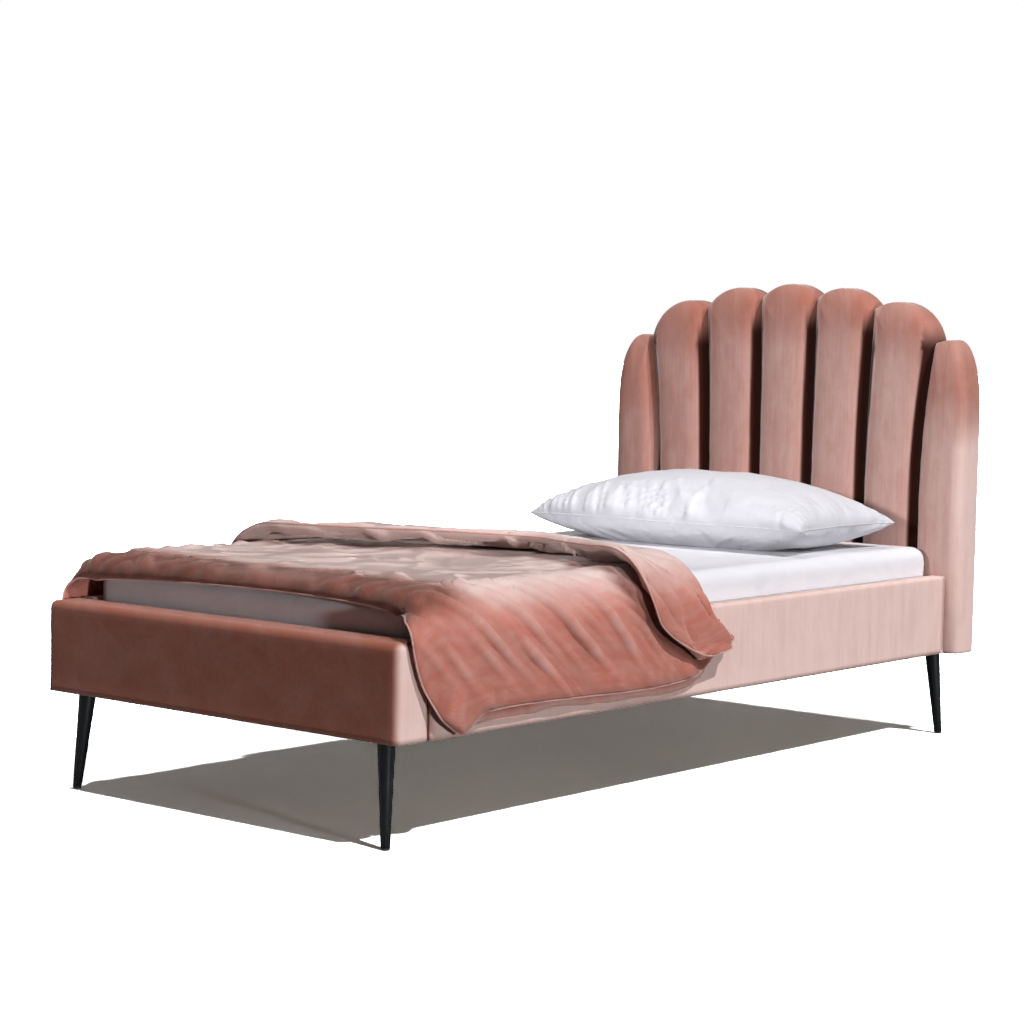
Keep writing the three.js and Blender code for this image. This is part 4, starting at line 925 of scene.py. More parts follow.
def rumple_channel(points, outline, lines, t, lobe, mirror):
    """Soft unevenness of the stuffing, and small gathers where the velvet is drawn into the seams."""
    n, m = lines.shape[:2]
    seed = 5 + lobe * 7 + (mirror > 0) * 3
    share = np.zeros((n, m))
    share[:, : len(t)] = t
    x, _, z = points.T
    along = np.concatenate([[0], np.cumsum(np.linalg.norm(np.diff(outline, axis=0), axis=1))])
    along = np.broadcast_to(along[:, None], (n, m)).ravel()
    share = share.ravel()
    soft = 0.0011 * layered(x * 11, z * 7, 0, seed, 3) * np.clip(1 - share**6, 0, 1)
    band = smooth_step(0.55, 0.93, share) * (1 - smooth_step(0.965, 1.0, share))
    gathers = 0.0009 * noise(along * 34, share * 2.0, 0, seed + 40) * band
    lift = (soft + gathers) * (share > 0)
    out = points.copy()
    out[:, 1] -= lift
    return out


class BED_OT_headboard_channels(bpy.types.Operator):
    """Builds the seven stuffed velvet channels of the headboard"""

    bl_idname = "bed.headboard_channels"
    bl_label = "Headboard Channels"

    def execute(self, context):
        scallops = Scallops(context.scene.bed_sizes)
        for number in range(1, 8):
            place = number - 4
            cad = f"headboard_channel_{number}"
            mirror = -1 if place < 0 else 1
            piece = headboard_channel(scallops, abs(place), mirror, f"channel_pad_{number}")
            dress(piece, "Rose Velvet Channels", "rose_velvet", "bed", cad)
        return {"FINISHED"}


# ---- Covers of the rails and the footboard ---------------------------------------


def soften_cover(piece, seed, strength=0.0006, crushed_top=False):
    """Slight waviness of wadding under velvet, kept off the lower edge, and painted light and shade in its pile by
    which way each face turns.
    """
    co, up = corners_of(piece), normals_of(piece)
    wave = layered(co[:, 0] * 9 + co[:, 1] * 6, co[:, 2] * 14, co[:, 1] * 5, seed, 3)
    hold = smooth_step(LEG_TOP_Z + 0.004, LEG_TOP_Z + 0.03, co[:, 2])
    place_corners(piece, co + up * (strength * wave * hold)[:, None] - up * (strength * hold)[:, None])
    # Painted light and shade by facing: faces turned to the sides, and the rails' tops, lighter; faces turned to
    # the foot or head darker. The footboard's top is left dark too.
    lit_top_share = 0 if crushed_top else 0.8
    outer = np.clip(np.abs(up[:, 0]) * 1.1 + lit_top_share * np.clip(up[:, 2], 0, 1), 0, 1)
    mark_points(piece, "Lifted And Lit", 0.05 + 0.9 * outer)
    mark_points(piece, "Pressed And Shaded", np.clip(1.0 - outer, 0, 1))


INNER_FLAP = 0.044
END_PLAY = 0.0003
FACE_HEIGHT = 0.012


def rail_cover(sizes, sign, name):
    """Velvet sleeve round a side rail, open below and short on its inner side."""
    low = (RAIL_LOW.x, RAIL_LOW.y + END_PLAY, RAIL_LOW.z)
    piece = block(name, low, (RAIL_HIGH.x, RAIL_HIGH.y - END_PLAY, RAIL_HIGH.z))
    bpy.ops.object.mode_set(mode="EDIT")
    pick(piece, faces=lambda centre, normal: abs(normal.y) > 0.9 or normal.z < -0.9)
    bpy.ops.mesh.delete(type="FACE")
    pick(piece, faces=lambda centre, normal: normal.x < -0.9)
    bpy.ops.mesh.bisect(plane_co=(0, 0, RAIL_HIGH.z - INNER_FLAP), plane_no=(0, 0, 1), clear_inner=True)
    pick(piece, edges=lambda a, b: level_with(RAIL_HIGH.z, a, b) and abs(a.y - b.y) > 1)
    bpy.ops.mesh.bevel(offset=sizes.rail_radius, segments=5, profile=0.5)
    pick(piece, edges=lambda a, b: abs(a.y - b.y) > 1)
    bpy.ops.mesh.subdivide(number_cuts=150)
    bpy.ops.object.mode_set(mode="OBJECT")
    split_tall_faces(piece, FACE_HEIGHT)
    apply_modifier(piece, "SOLIDIFY", thickness=sizes.cover_thickness, offset=-1.0, use_even_offset=True)
    if sign < 0:
        make_active(piece)
        bpy.ops.transform.mirror(constraint_axis=(True, False, False), center_override=(0, 0, 0))
        bpy.ops.object.transform_apply(location=True, rotation=True, scale=True)
    tidy_mesh(piece)
    soften_cover(piece, 21 + sign)
    return piece


def level_with(z, a, b):
    """Whether both ends of an edge lie at a height."""
    return abs(a.z - z) < 1e-5 and abs(b.z - z) < 1e-5


def split_tall_faces(piece, width):
    """Splits the faces' upright edges until they are about a width long."""
    work = bmesh.new()
    work.from_mesh(piece.data)
    tall = [e for e in work.edges if abs(e.verts[0].co.z - e.verts[1].co.z) > 3 * width]
    if tall:
        cuts = int(abs(tall[0].verts[0].co.z - tall[0].verts[1].co.z) / width)
        bmesh.ops.subdivide_edges(work, edges=tall, cuts=cuts, use_grid_fill=True)
    work.to_mesh(piece.data)
    work.free()


def footboard_cover(sizes, name):
    """Velvet sleeve over the footboard: soft edges all round, open below."""
    piece = block(name, FOOT_LOW, FOOT_HIGH)
    bpy.ops.object.mode_set(mode="EDIT")
    pick(piece, faces=lambda centre, normal: normal.z < -0.9)
    bpy.ops.mesh.delete(type="FACE")
    pick(piece, edges=lambda a, b: level_with(FOOT_HIGH.z, a, b) or abs(a.z - b.z) > 0.1)
    bpy.ops.mesh.bevel(offset=sizes.footboard_radius, segments=6, profile=0.5)
    pick(piece, edges=lambda a, b: abs(a.x - b.x) > 0.8)
    bpy.ops.mesh.subdivide(number_cuts=90)
    bpy.ops.object.mode_set(mode="OBJECT")
    split_tall_faces(piece, FACE_HEIGHT)
    apply_modifier(piece, "SOLIDIFY", thickness=sizes.cover_thickness, offset=-1.0, use_even_offset=True)
    tidy_mesh(piece)
    soften_cover(piece, 33, 0.0008, crushed_top=True)
    return piece


class BED_OT_covers(bpy.types.Operator):
    """Builds the velvet sleeves of both side rails and of the footboard"""

    bl_idname = "bed.covers"
    bl_label = "Rail and Footboard Covers"

    def execute(self, context):
        sizes = context.scene.bed_sizes
        for sign, side in ((-1, "left"), (1, "right")):
            piece = rail_cover(sizes, sign, f"rail_velvet_{side}")
            dress(piece, "Rose Velvet Covers", "rose_velvet", "bed", f"side_rail_cover_{side}")
        piece = footboard_cover(sizes, "footboard_velvet")
        dress(piece, "Rose Velvet Covers", "rose_velvet", "bed", "footboard_cover")
        return {"FINISHED"}


# ---- Legs ----------------------------------------------------------------------


LEG_FOOT_RADIUS = 0.0095
LEG_HEAD_RADIUS = 0.0185


def turned_leg(corner):
    """One tapered leg: a cone whose foot is moved outwards, with a soft lower edge."""
    glide_low, glide_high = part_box(f"leg_glide_{corner}")
    plate_low, plate_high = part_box(f"leg_plate_{corner}")
    head = (plate_low + plate_high) / 2
    foot = (glide_low + glide_high) / 2
    top_z, foot_z = LEG_TOP_Z - 0.0003, glide_high.z + 0.0003
    deselect_all()
    bpy.ops.mesh.primitive_cone_add(
        vertices=64,
        radius1=LEG_FOOT_RADIUS,
        radius2=LEG_HEAD_RADIUS,
        depth=top_z - foot_z,
        location=(head.x, head.y, (top_z + foot_z) / 2),
    )
    piece = bpy.context.active_object
    piece.name = piece.data.name = f"turned_leg_{corner}"
    bpy.ops.object.transform_apply(location=True, rotation=True, scale=True)
    bpy.ops.object.mode_set(mode="EDIT")
    pick(piece, corners=lambda co: co.z < foot_z + 1e-4)
    bpy.ops.transform.translate(value=(foot.x - head.x, foot.y - head.y, 0))
    pick(piece, edges=lambda a, b: abs(a.z - b.z) < 1e-5)
    bpy.ops.mesh.bevel(offset=0.0012, segments=3, profile=0.5)
    bpy.ops.object.mode_set(mode="OBJECT")
    piece.data.shade_smooth()
    make_active(piece)
    bpy.ops.object.shade_smooth_by_angle(angle=math.radians(50))
    return piece


class BED_OT_legs(bpy.types.Operator):
    """Builds the four tapered, splayed legs"""

    bl_idname = "bed.legs"
    bl_label = "Legs"

    def execute(self, context):
        for corner in ("front_left", "front_right", "rear_left", "rear_right"):
            piece = turned_leg(corner)
            dress(piece, "Black Lacquer", "black_lacquer", "bed", f"leg_{corner}")
        return {"FINISHED"}


# ---- Mattress and fitted sheet ----------------------------------------------------


def rounded_form(name, low, high, radius, spacing):
    """A box primitive with rounded edges and an even net of faces."""
    low, high = Vector(low), Vector(high)
    piece = block(name, low, high)
    bpy.ops.object.mode_set(mode="EDIT")
    bpy.ops.mesh.select_all(action="SELECT")
    bpy.ops.mesh.bevel(offset=radius, segments=6, profile=0.5, affect="EDGES")
    bpy.ops.object.mode_set(mode="OBJECT")
    work = bmesh.new()
    work.from_mesh(piece.data)
    for axis in range(3):
        half = 0.5 * ((high - low)[axis] - 2 * radius)
        long = [e for e in work.edges if abs(e.verts[0].co[axis] - e.verts[1].co[axis]) > half]
        if long:
            cuts = max(1, int((high - low)[axis] / spacing))
            bmesh.ops.subdivide_edges(work, edges=long, cuts=cuts, use_grid_fill=True)
    work.to_mesh(piece.data)
    work.free()
    piece.data.shade_smooth()
    return piece


class BED_OT_mattress(bpy.types.Operator):
    """Builds the ticking-covered mattress"""

    bl_idname = "bed.mattress"
    bl_label = "Mattress"

    def execute(self, context):
        piece = rounded_form("mattress_core", MATTRESS_LOW, MATTRESS_HIGH, 0.03, 0.03)
        co, up = corners_of(piece), normals_of(piece)
        tufts = np.sin(co[:, 0] * math.pi / 0.075) * np.sin(co[:, 1] * math.pi / 0.075)
        co = co - up * (0.0012 * (1 - np.abs(tufts)) ** 3 * (co[:, 2] < MATTRESS_LOW.z + 0.02))[:, None]
        place_corners(piece, co)
        dress(piece, "Mattress Ticking", "ticking", "mattress", "mattress")
        return {"FINISHED"}


def sheet_creases(co, up):
    """How far the sheet stands off the mattress: drawn creases on top, slack folds down its sides."""
    x, y, z = co.T
    top = smooth_step(0.6, 0.95, up[:, 2])
    side = 1 - top
    along = 0.5 + 0.5 * layered(x * 3, y * 20 + x * 3, z * 3, 61, 3)
    pull = crests(y * 9 + z * 30, x * 9 - z * 12, 71, 5, 2)
    wide = 0.5 + 0.5 * noise(x * 5, y * 5, z * 8, 81)
    return 0.0006 + top * (0.0012 * along + 0.001 * pull) + side * (0.0022 * pull * wide + 0.0015 * along)


# the sheet's cut size: the mattress's top, a drop along each side with the corners left out, and a hem's ease
SHEET_EASE = 0.0012


class BED_OT_fitted_sheet(bpy.types.Operator):
    """Builds the white fitted sheet drawn over the mattress"""

    bl_idname = "bed.fitted_sheet"
    bl_label = "Fitted Sheet"

    def execute(self, context):
        low = (-SHEET_HIGH.x + SHEET_EASE, SHEET_LOW.y + SHEET_EASE, MATTRESS_LOW.z - 0.0011)
        piece = rounded_form("bed_sheet", low, SHEET_HIGH - Vector((SHEET_EASE,) * 3), 0.031, 0.012)
        work = bmesh.new()
        work.from_mesh(piece.data)
        under = [f for f in work.faces if f.calc_center_median().z < SHEET_LOW.z]
        bmesh.ops.delete(work, geom=under, context="FACES")
        work.to_mesh(piece.data)
        work.free()
        co, up = corners_of(piece), normals_of(piece)
        place_corners(piece, co + up * sheet_creases(co, up)[:, None])
        apply_modifier(piece, "SOLIDIFY", thickness=0.001, offset=-1.0)
        piece.data.shade_smooth()
        dress(piece, "White Cotton", "white_cotton", "mattress", "fitted_sheet")
        return {"FINISHED"}


# ---- Pillow ------------------------------------------------------------------------


class BED_OT_pillow(bpy.types.Operator):
    """Builds the plump white pillow with its seam and gathers"""

    bl_idname = "bed.pillow"
    bl_label = "Pillow"

    def execute(self, context):
        long, wide, crown, belly, seam = 0.785, 0.44, 0.104, 0.062, 0.003
        across, along = 190, 100
        u = np.sin(math.pi / 2 * np.linspace(-1, 1, across))[None, :]
        v = np.sin(math.pi / 2 * np.linspace(-1, 1, along))[:, None]
        u, v = np.broadcast_arrays(u, v)
        fall = np.sqrt(np.clip((1 - u**2) * (1 - v**2), 0, 1))
        x = long / 2 * u * (1 - 0.07 * (1 - v * v) * u * u) * (1 - 0.065 * smooth_step(0, 1, -u))
        y = wide / 2 * v * (1 - 0.07 * (1 - u * u) * v * v)
        z = {}
        for side, height, flatten in ((1, crown, 1.0), (-1, belly, 1.25)):
            rim = side * seam / 2
            z[side] = rim + (side * height - rim) * np.minimum(1, fall * flatten) ** 0.9
        # gathers run in from the seams and fade over the crown
        edge = 1 - fall
        gather = np.where(
            np.abs(v) > np.abs(u), layered(u * 24, v * 3, 0, 7, 3), layered(v * 16, u * 3, 0, 9, 3)
        )
        drawn_in = 0.004 * gather * edge**2 * np.minimum(1, fall * 4)
        z[1] = z[1] + drawn_in + 0.0035 * layered(u * 4, v * 4, 0, 3, 3) * np.minimum(1, fall * 3)
        z[-1] = z[-1] + drawn_in * (fall * 1.25 < 1)
        base_z = PILLOW_LOW.z + belly
        low_points = np.stack([x, y, z[-1]], 2).reshape(-1, 3)
        top_points = np.stack([x, y, z[1]], 2).reshape(-1, 3)
        points = np.concatenate([top_points, low_points])
        n = along * across
        faces, ring = two_sided_faces(along, across)
        piece = piece_from("stuffed_pillow", points, faces)
        tidy_mesh(piece)
        settle(piece, 14, 0.012, growth=0.05, pressure=3.0, bending=0.05, stretch=20)
        co = corners_of(piece)
        # the seam's gathers, drawn after the cloth has settled so that they stay crisp
        drawn = crests(u * 24 + v * 5, v * 2.0, 15, 2.2, 1.3) * smooth_step(0.25, 0.8, np.abs(v))
        drawn = drawn * smooth_step(-0.5, 0.3, noise(u * 6, v, 0, 18)) * (1 - smooth_step(0.05, 0.5, u))
        corner = crests(u * 22 - v * 12, u * 4 + v * 4, 25, 2.3)
        corner = corner * smooth_step(0.72, 0.95, np.abs(u)) * smooth_step(0.2, 0.8, np.abs(v))
        relief = (0.0075 * drawn + 0.003 * corner) * np.minimum(1, fall * 5)
        co[:n] += normals_of(piece)[:n] * relief.reshape(-1, 1)
        co[:, 2] = np.maximum(co[:, 2], -belly)
        turn = Matrix.Rotation(math.radians(2.5), 3, "Z")
        middle_x = (PILLOW_LOW.x + PILLOW_HIGH.x) / 2 + 0.006
        middle = Vector((middle_x, (PILLOW_LOW.y + PILLOW_HIGH.y) / 2, base_z))
        co = co @ np.array(turn).T + np.array(middle)
        seam_line = (co[ring] + co[ring + n]) / 2
        place_corners(piece, co)
        tidy_mesh(piece)
        dress(piece, "Pillow Cotton", "white_cotton", "pillow", "pillow")
        cord = tube("pillow_seam", seam_line, 0.0017, 8, closed=True)
        dress(cord, "Pillow Cotton", "white_cotton", "pillow")
        return {"FINISHED"}


# ---- Duvet ---------------------------------------------------------------------------

# across the bed from -1 at its left to 1 at its right: how far along the bed an edge of the cloth lies
DUVET_FOOT_BORDER = [
    (-1, 0.022), (-0.8, -0.018), (-0.58, 0), (0.58, 0),
    (0.69, -0.048), (0.81, -0.034), (0.94, 0.022), (1, 0.082),
]
DUVET_TURN_BORDER = [
    (-1, 0.802), (-0.58, 0.832), (-0.29, 0.862), (0, 0.902),
    (0.29, 0.867), (0.58, 0.787), (0.81, 0.852), (1, 0.95),
]
DUVET_HEM_BORDER = [
    (-1, 0.462), (-0.58, 0.477), (-0.29, 0.552), (0, 0.627),
    (0.29, 0.667), (0.58, 0.602), (0.81, 0.662), (1, 0.917),
]
# along the bed: how far the sides reach, as a share of their full reach
DUVET_SIDE_REACH = [(0, 1.06), (0.07, 1.05), (0.13, 1), (0.802, 1), (0.952, 0.89)]

# each crest: where it leaves the shoulder, how far down the side it starts and ends,
# its height and its half width
HANG_CRESTS = [
    (-0.415, 0.13, 0.31, 0.006, 0.009),
    (-0.360, 0.16, 0.32, 0.008, 0.009),
    (-0.315, 0.08, 0.24, 0.005, 0.008),
    (-0.262, 0.12, 0.32, 0.008, 0.010),
    (-0.205, 0.05, 0.30, 0.010, 0.009),
    (-0.150, 0.03, 0.20, 0.006, 0.008),
    (-0.118, 0.14, 0.32, 0.009, 0.009),
    (-0.060, 0.02, 0.28, 0.010, 0.009),
    (-0.020, 0.15, 0.31, 0.006, 0.007),
    (0.012, 0.00, 0.19, 0.006, 0.008),
    (0.052, 0.01, 0.31, 0.011, 0.009),
    (0.112, 0.10, 0.26, 0.006, 0.008),
    (0.140, 0.00, 0.18, 0.006, 0.007),
    (0.182, 0.02, 0.32, 0.010, 0.010),
    (0.245, 0.12, 0.30, 0.006, 0.009),
    (0.280, 0.00, 0.22, 0.008, 0.009),
    (0.350, 0.02, 0.26, 0.008, 0.010),
    (0.415, 0.00, 0.20, 0.006, 0.009),
    (0.480, 0.03, 0.20, 0.006, 0.010),
]
HANG = 0.133
DUVET_COLUMNS = 116
DUVET_STEP = 0.0125
FINER = 2.1
TURN_ROWS = 9
STITCHED_EDGE = 0.03


class DuvetForm:
    """Middle surface of the duvet: flat on top, round over the sides, rolled at the foot, turned down once."""

    def __init__(self, sizes):
        self.thick, self.thin = sizes.duvet_thickness, sizes.hang_thickness
        self.flat = MATTRESS_HIGH.x - 0.03
        self.middle_z = SHEET_HIGH.z + 0.0003 + self.thick / 2
        self.hang_x = RAIL_HIGH.x + 0.004 + self.thin / 2
        self.wide = self.hang_x - self.flat
        self.drop = 0.094
        self.round = math.pi / 2 * math.sqrt((self.wide**2 + self.drop**2) / 2)
        self.reach = self.flat + self.round + HANG
        self.foot_reach = 0.026
        self.roll = 0.056
        self.roll_end = self.roll - self.foot_reach
        self.foot_drop = 0.04

    def shoulder(self, s):
        return np.clip((np.abs(s) - self.flat) / self.round, 0, 1)

    def thickness(self, s):
        return self.thick + (self.thin - self.thick) * smooth_step(0, 1, self.shoulder(s))

    def fan(self, s, d):
        """How far along the bed a fold that passes here leaves the shoulder, and how far down the side it is."""
        past = np.maximum(0, np.abs(s) - self.flat + 0.03)
        return d - 0.5 * (past / 0.3) ** 0.6, past

    def folds(self, s, d):
        """Broad folds that leave the shoulder along the bed and bend down its side."""
        lean, past = self.fan(s, d)
        share = self.shoulder(s)
        wave = 0.5 + 0.5 * noise(lean * 9 + 0.3, past * 3, 0, 3)
        body = 0.5 + 0.5 * noise(lean * 19, past * 4, 0, 5)
        side = np.sin(np.pi * np.clip(share, 0, 1)) * (1 - 0.3 * share) + 0.55 * share
        return side * (0.007 * wave + 0.004 * body)

    def ridges(self, s, d):
        """Long narrow crests along the folds, finer ones between them, and puckers drawn into the side hem."""
        lean, past = self.fan(s, d)
        lean = lean + 0.03 * (s < 0) + 0.010 * noise(past * 11, lean * 7, 0, 13)
        total = 0.0
        for middle, start, end, height, width in HANG_CRESTS:
            there = smooth_step(start - 0.02, start + 0.07, past) * (1 - smooth_step(end - 0.13, end + 0.01, past))
            drift = 0.35 * (past - 0.15) * noise(middle * 31, 0.5, 0, 41)
            away = (lean - middle - drift) / (width * (0.9 + 3.0 * past))
            total = total + height * there / (1 + away**2) ** 1.5
        share = smooth_step(-0.03, 0.05, np.abs(s) - self.flat)
        small = crests(lean * 30, past * 4, 19, 3.2, 1.6)
        small = small * smooth_step(-0.1, 0.5, noise(lean * 9, past * 8, 0, 37))
        low = smooth_step(self.reach - 0.065, self.reach - 0.012, np.abs(s))
        pucker = crests(d * 24 + s * 9, s * 6, 73, 2.4, 1.3)
        tip = 1 - smooth_step(0.02, 0.14, d)
        return total * share + share * 0.0045 * small + (0.004 + 0.003 * tip) * low * pucker

    def rumples(self, s, d, layer, from_hem):
        """Creases on top: crossed near the foot, drawn along the foot hem and along the turned edge."""
        on_top = 1 - smooth_step(0.0, 0.5, self.shoulder(s))
        near_foot = (1 - smooth_step(0.1, 0.5, d)) * ~layer
        bend = 0.03 * noise(s * 5, d * 5, 0, 43)
        slow = layered(s * 5 + d * 3, d * 6 - s * 2, 0, 23, 2)
        first = crests((s * 0.8 + d + bend) * 15, (d - s) * 5, 29, 2.7, 1.3)
        second = crests((d * 1.1 - s * 0.7 + bend) * 14, (d + s) * 5, 31, 2.7, 1.3)
        apart = smooth_step(-0.2, 0.5, noise(s * 6, d * 6, 0, 47))
        crease = first * apart + second * (1 - apart)
        long = crests(s * 16 + bend * 8, d * 2.4, 83, 2.6, 1.4) * smooth_step(0.25, 0.45, d) * ~layer
        some = smooth_step(-0.4, 0.4, noise(s * 7, 0.3, 0, 89))
        hem = some * crests((s + d * 1.4) * 11, d * 5, 59, 2.6, 1.2)
        hem = hem * (1 - smooth_step(-0.01, 0.12, d)) * ~layer
        turned = crests((s - d) * 14, d * 6, 61, 2.4, 1.3) * (1 - smooth_step(0.0, 0.16, from_hem)) * layer
        top = 0.004 * slow + (0.003 + 0.005 * near_foot) * crease + 0.003 * long + 0.006 * hem
        return on_top * top + 0.013 * turned

    def place(self, s, d, lift):
        """Places on the bed for places on the cloth: s across it, d along it, raised off the surface."""
        side = np.where(s < 0, -1.0, 1.0)
        angle = self.shoulder(s) * np.pi / 2
        fall = np.maximum(0, np.abs(s) - self.flat - self.round)
        x = np.minimum(np.abs(s), self.flat) + self.wide * np.sin(angle)
        z = self.middle_z - self.drop * (1 - np.cos(angle)) - fall
        nx, nz = np.sin(angle) / self.wide, np.cos(angle) / self.drop
        size = np.hypot(nx, nz)
        nx, nz = nx / size, nz / size
        rolled = np.clip((self.roll_end - d) / self.roll, 0, 1)
        droop = self.foot_drop * (1 - np.sqrt(1 - rolled**2)) * (1 - smooth_step(0, 1, self.shoulder(s)))
        out = lift + self.folds(s, d)
        return np.stack([side * (x + nx * out), MATTRESS_LOW.y + d, z + nz * out - droop], -1)

    def grid(self, columns, step):
        """Rows along the cloth from its foot border, up the bed, round the turn and back to its hem."""
        share = np.linspace(-1, 1, columns)
        nominal = share * self.reach
        start = curve_through(DUVET_FOOT_BORDER, share) - self.foot_reach
        turn = curve_through(DUVET_TURN_BORDER, share)
        hem = curve_through(DUVET_HEM_BORDER, share)
        hem = hem + 0.006 * noise(share * 7, 0, 0, 53)
        lift = self.thickness(nominal) + 0.003
        radius = lift / 2
        bend = turn - radius
        under, flap = int(0.9 / step), int(0.31 / step)
        rows = []
        for k in range(under):
            rows.append((start + (bend - start) * k / under, np.zeros(columns)))
        for k in range(TURN_ROWS):
            a = math.pi * k / TURN_ROWS
            raised = radius * (1 - math.cos(a)) + 0.004 * math.sin(a / 2) ** 2
            rows.append((bend + radius * math.sin(a), raised))
        open_edge = 0.012 + 0.014 * (1 - self.shoulder(nominal))
        for k in range(flap + 1):
            t = k / flap
            rows.append((bend + (hem - bend) * t, lift + 0.004 + open_edge * smooth_step(0.4, 1, t)))
        d = np.array([r[0] for r in rows])
        out = np.array([r[1] for r in rows])
        s = nominal[None, :] * curve_through(DUVET_SIDE_REACH, d)
        flare = 0.010 * smooth_step(self.reach - 0.075, self.reach, np.abs(s)) * (s > 0)
        over = np.arange(len(rows)) >= under + TURN_ROWS // 2
        layer = np.broadcast_to(over[:, None], s.shape)
        hidden = smooth_step(0.0, 0.05, d - hem[None, :]) * ~layer
        from_hem = np.where(layer, np.abs(d - hem[None, :]), 1.0)
        return s, d, self.place(s, d, out + flare), hidden, layer, from_hem


def cubic(count, wanted):
    """Places and weights that read a row of values at more places along a smooth curve."""
    at = np.linspace(0, count - 1, wanted)
    i = np.clip(np.floor(at).astype(int), 0, count - 2)
    t = at - i
    near = np.stack([np.clip(i + k, 0, count - 1) for k in (-1, 0, 1, 2)])
    w = [-t + 2 * t**2 - t**3, 2 - 5 * t**2 + 3 * t**3, t + 4 * t**2 - 3 * t**3, -(t**2) + t**3]
    return near, np.stack(w) / 2


def finer_grid(grid, rows, columns):
    """The same surface with more rows and columns."""
    near, weights = cubic(grid.shape[0], rows)
    grid = np.einsum("kr,kr...->r...", weights, grid[near])
    near, weights = cubic(grid.shape[1], columns)
    return np.einsum("kc,rkc...->rc...", weights, grid[:, near])


def grid_normals(grid):
    normal = np.cross(np.gradient(grid, axis=1), np.gradient(grid, axis=0))
    return normal / np.maximum(np.linalg.norm(normal, axis=2), 1e-12)[..., None]


def from_border(shape, edge):
    """1 well inside a grid and 0 on its border, over a number of rows and columns."""
    i, j = np.meshgrid(np.arange(shape[0]), np.arange(shape[1]), indexing="ij")
    near = np.minimum.reduce([i, shape[0] - 1 - i, j, shape[1] - 1 - j])
    return np.clip(near / edge, 0, 1)


def padded_sheet(name, grid, thickness, edge_width, edge_share=0.18):
    """A closed quilt round a grid of places, thinner towards its stitched border, with UVs in metres."""
    rows, columns = grid.shape[:2]
    normal = grid_normals(grid)
    step_u = np.linalg.norm(np.diff(grid, axis=1), axis=2)
    step_v = np.linalg.norm(np.diff(grid, axis=0), axis=2)
    from_left = np.concatenate([np.zeros((rows, 1)), np.cumsum(step_u, 1)], 1)
    from_foot = np.concatenate([np.zeros((1, columns)), np.cumsum(step_v, 0)], 0)
    near = np.minimum.reduce([from_left, from_left[:, -1:] - from_left, from_foot, from_foot[-1:] - from_foot])
    t = np.clip(near / edge_width, 0, 1)
    puff = edge_share + (1 - edge_share) * np.sqrt(1 - (1 - t) ** 2)
    half = (thickness * puff / 2)[..., None]
    top, bottom = grid + normal * half, grid - normal * half
    points = np.concatenate([top.reshape(-1, 3), bottom.reshape(-1, 3)])
    uv = np.stack([from_left - from_left[:, -1:] / 2, from_foot], 2).reshape(-1, 2)
    faces, ring = two_sided_faces(rows, columns)
    piece = piece_from(name, points, faces, np.concatenate([uv, uv + 3.0]))
    return tidy_mesh(piece, merge=1e-7), grid.reshape(-1, 3)[ring]


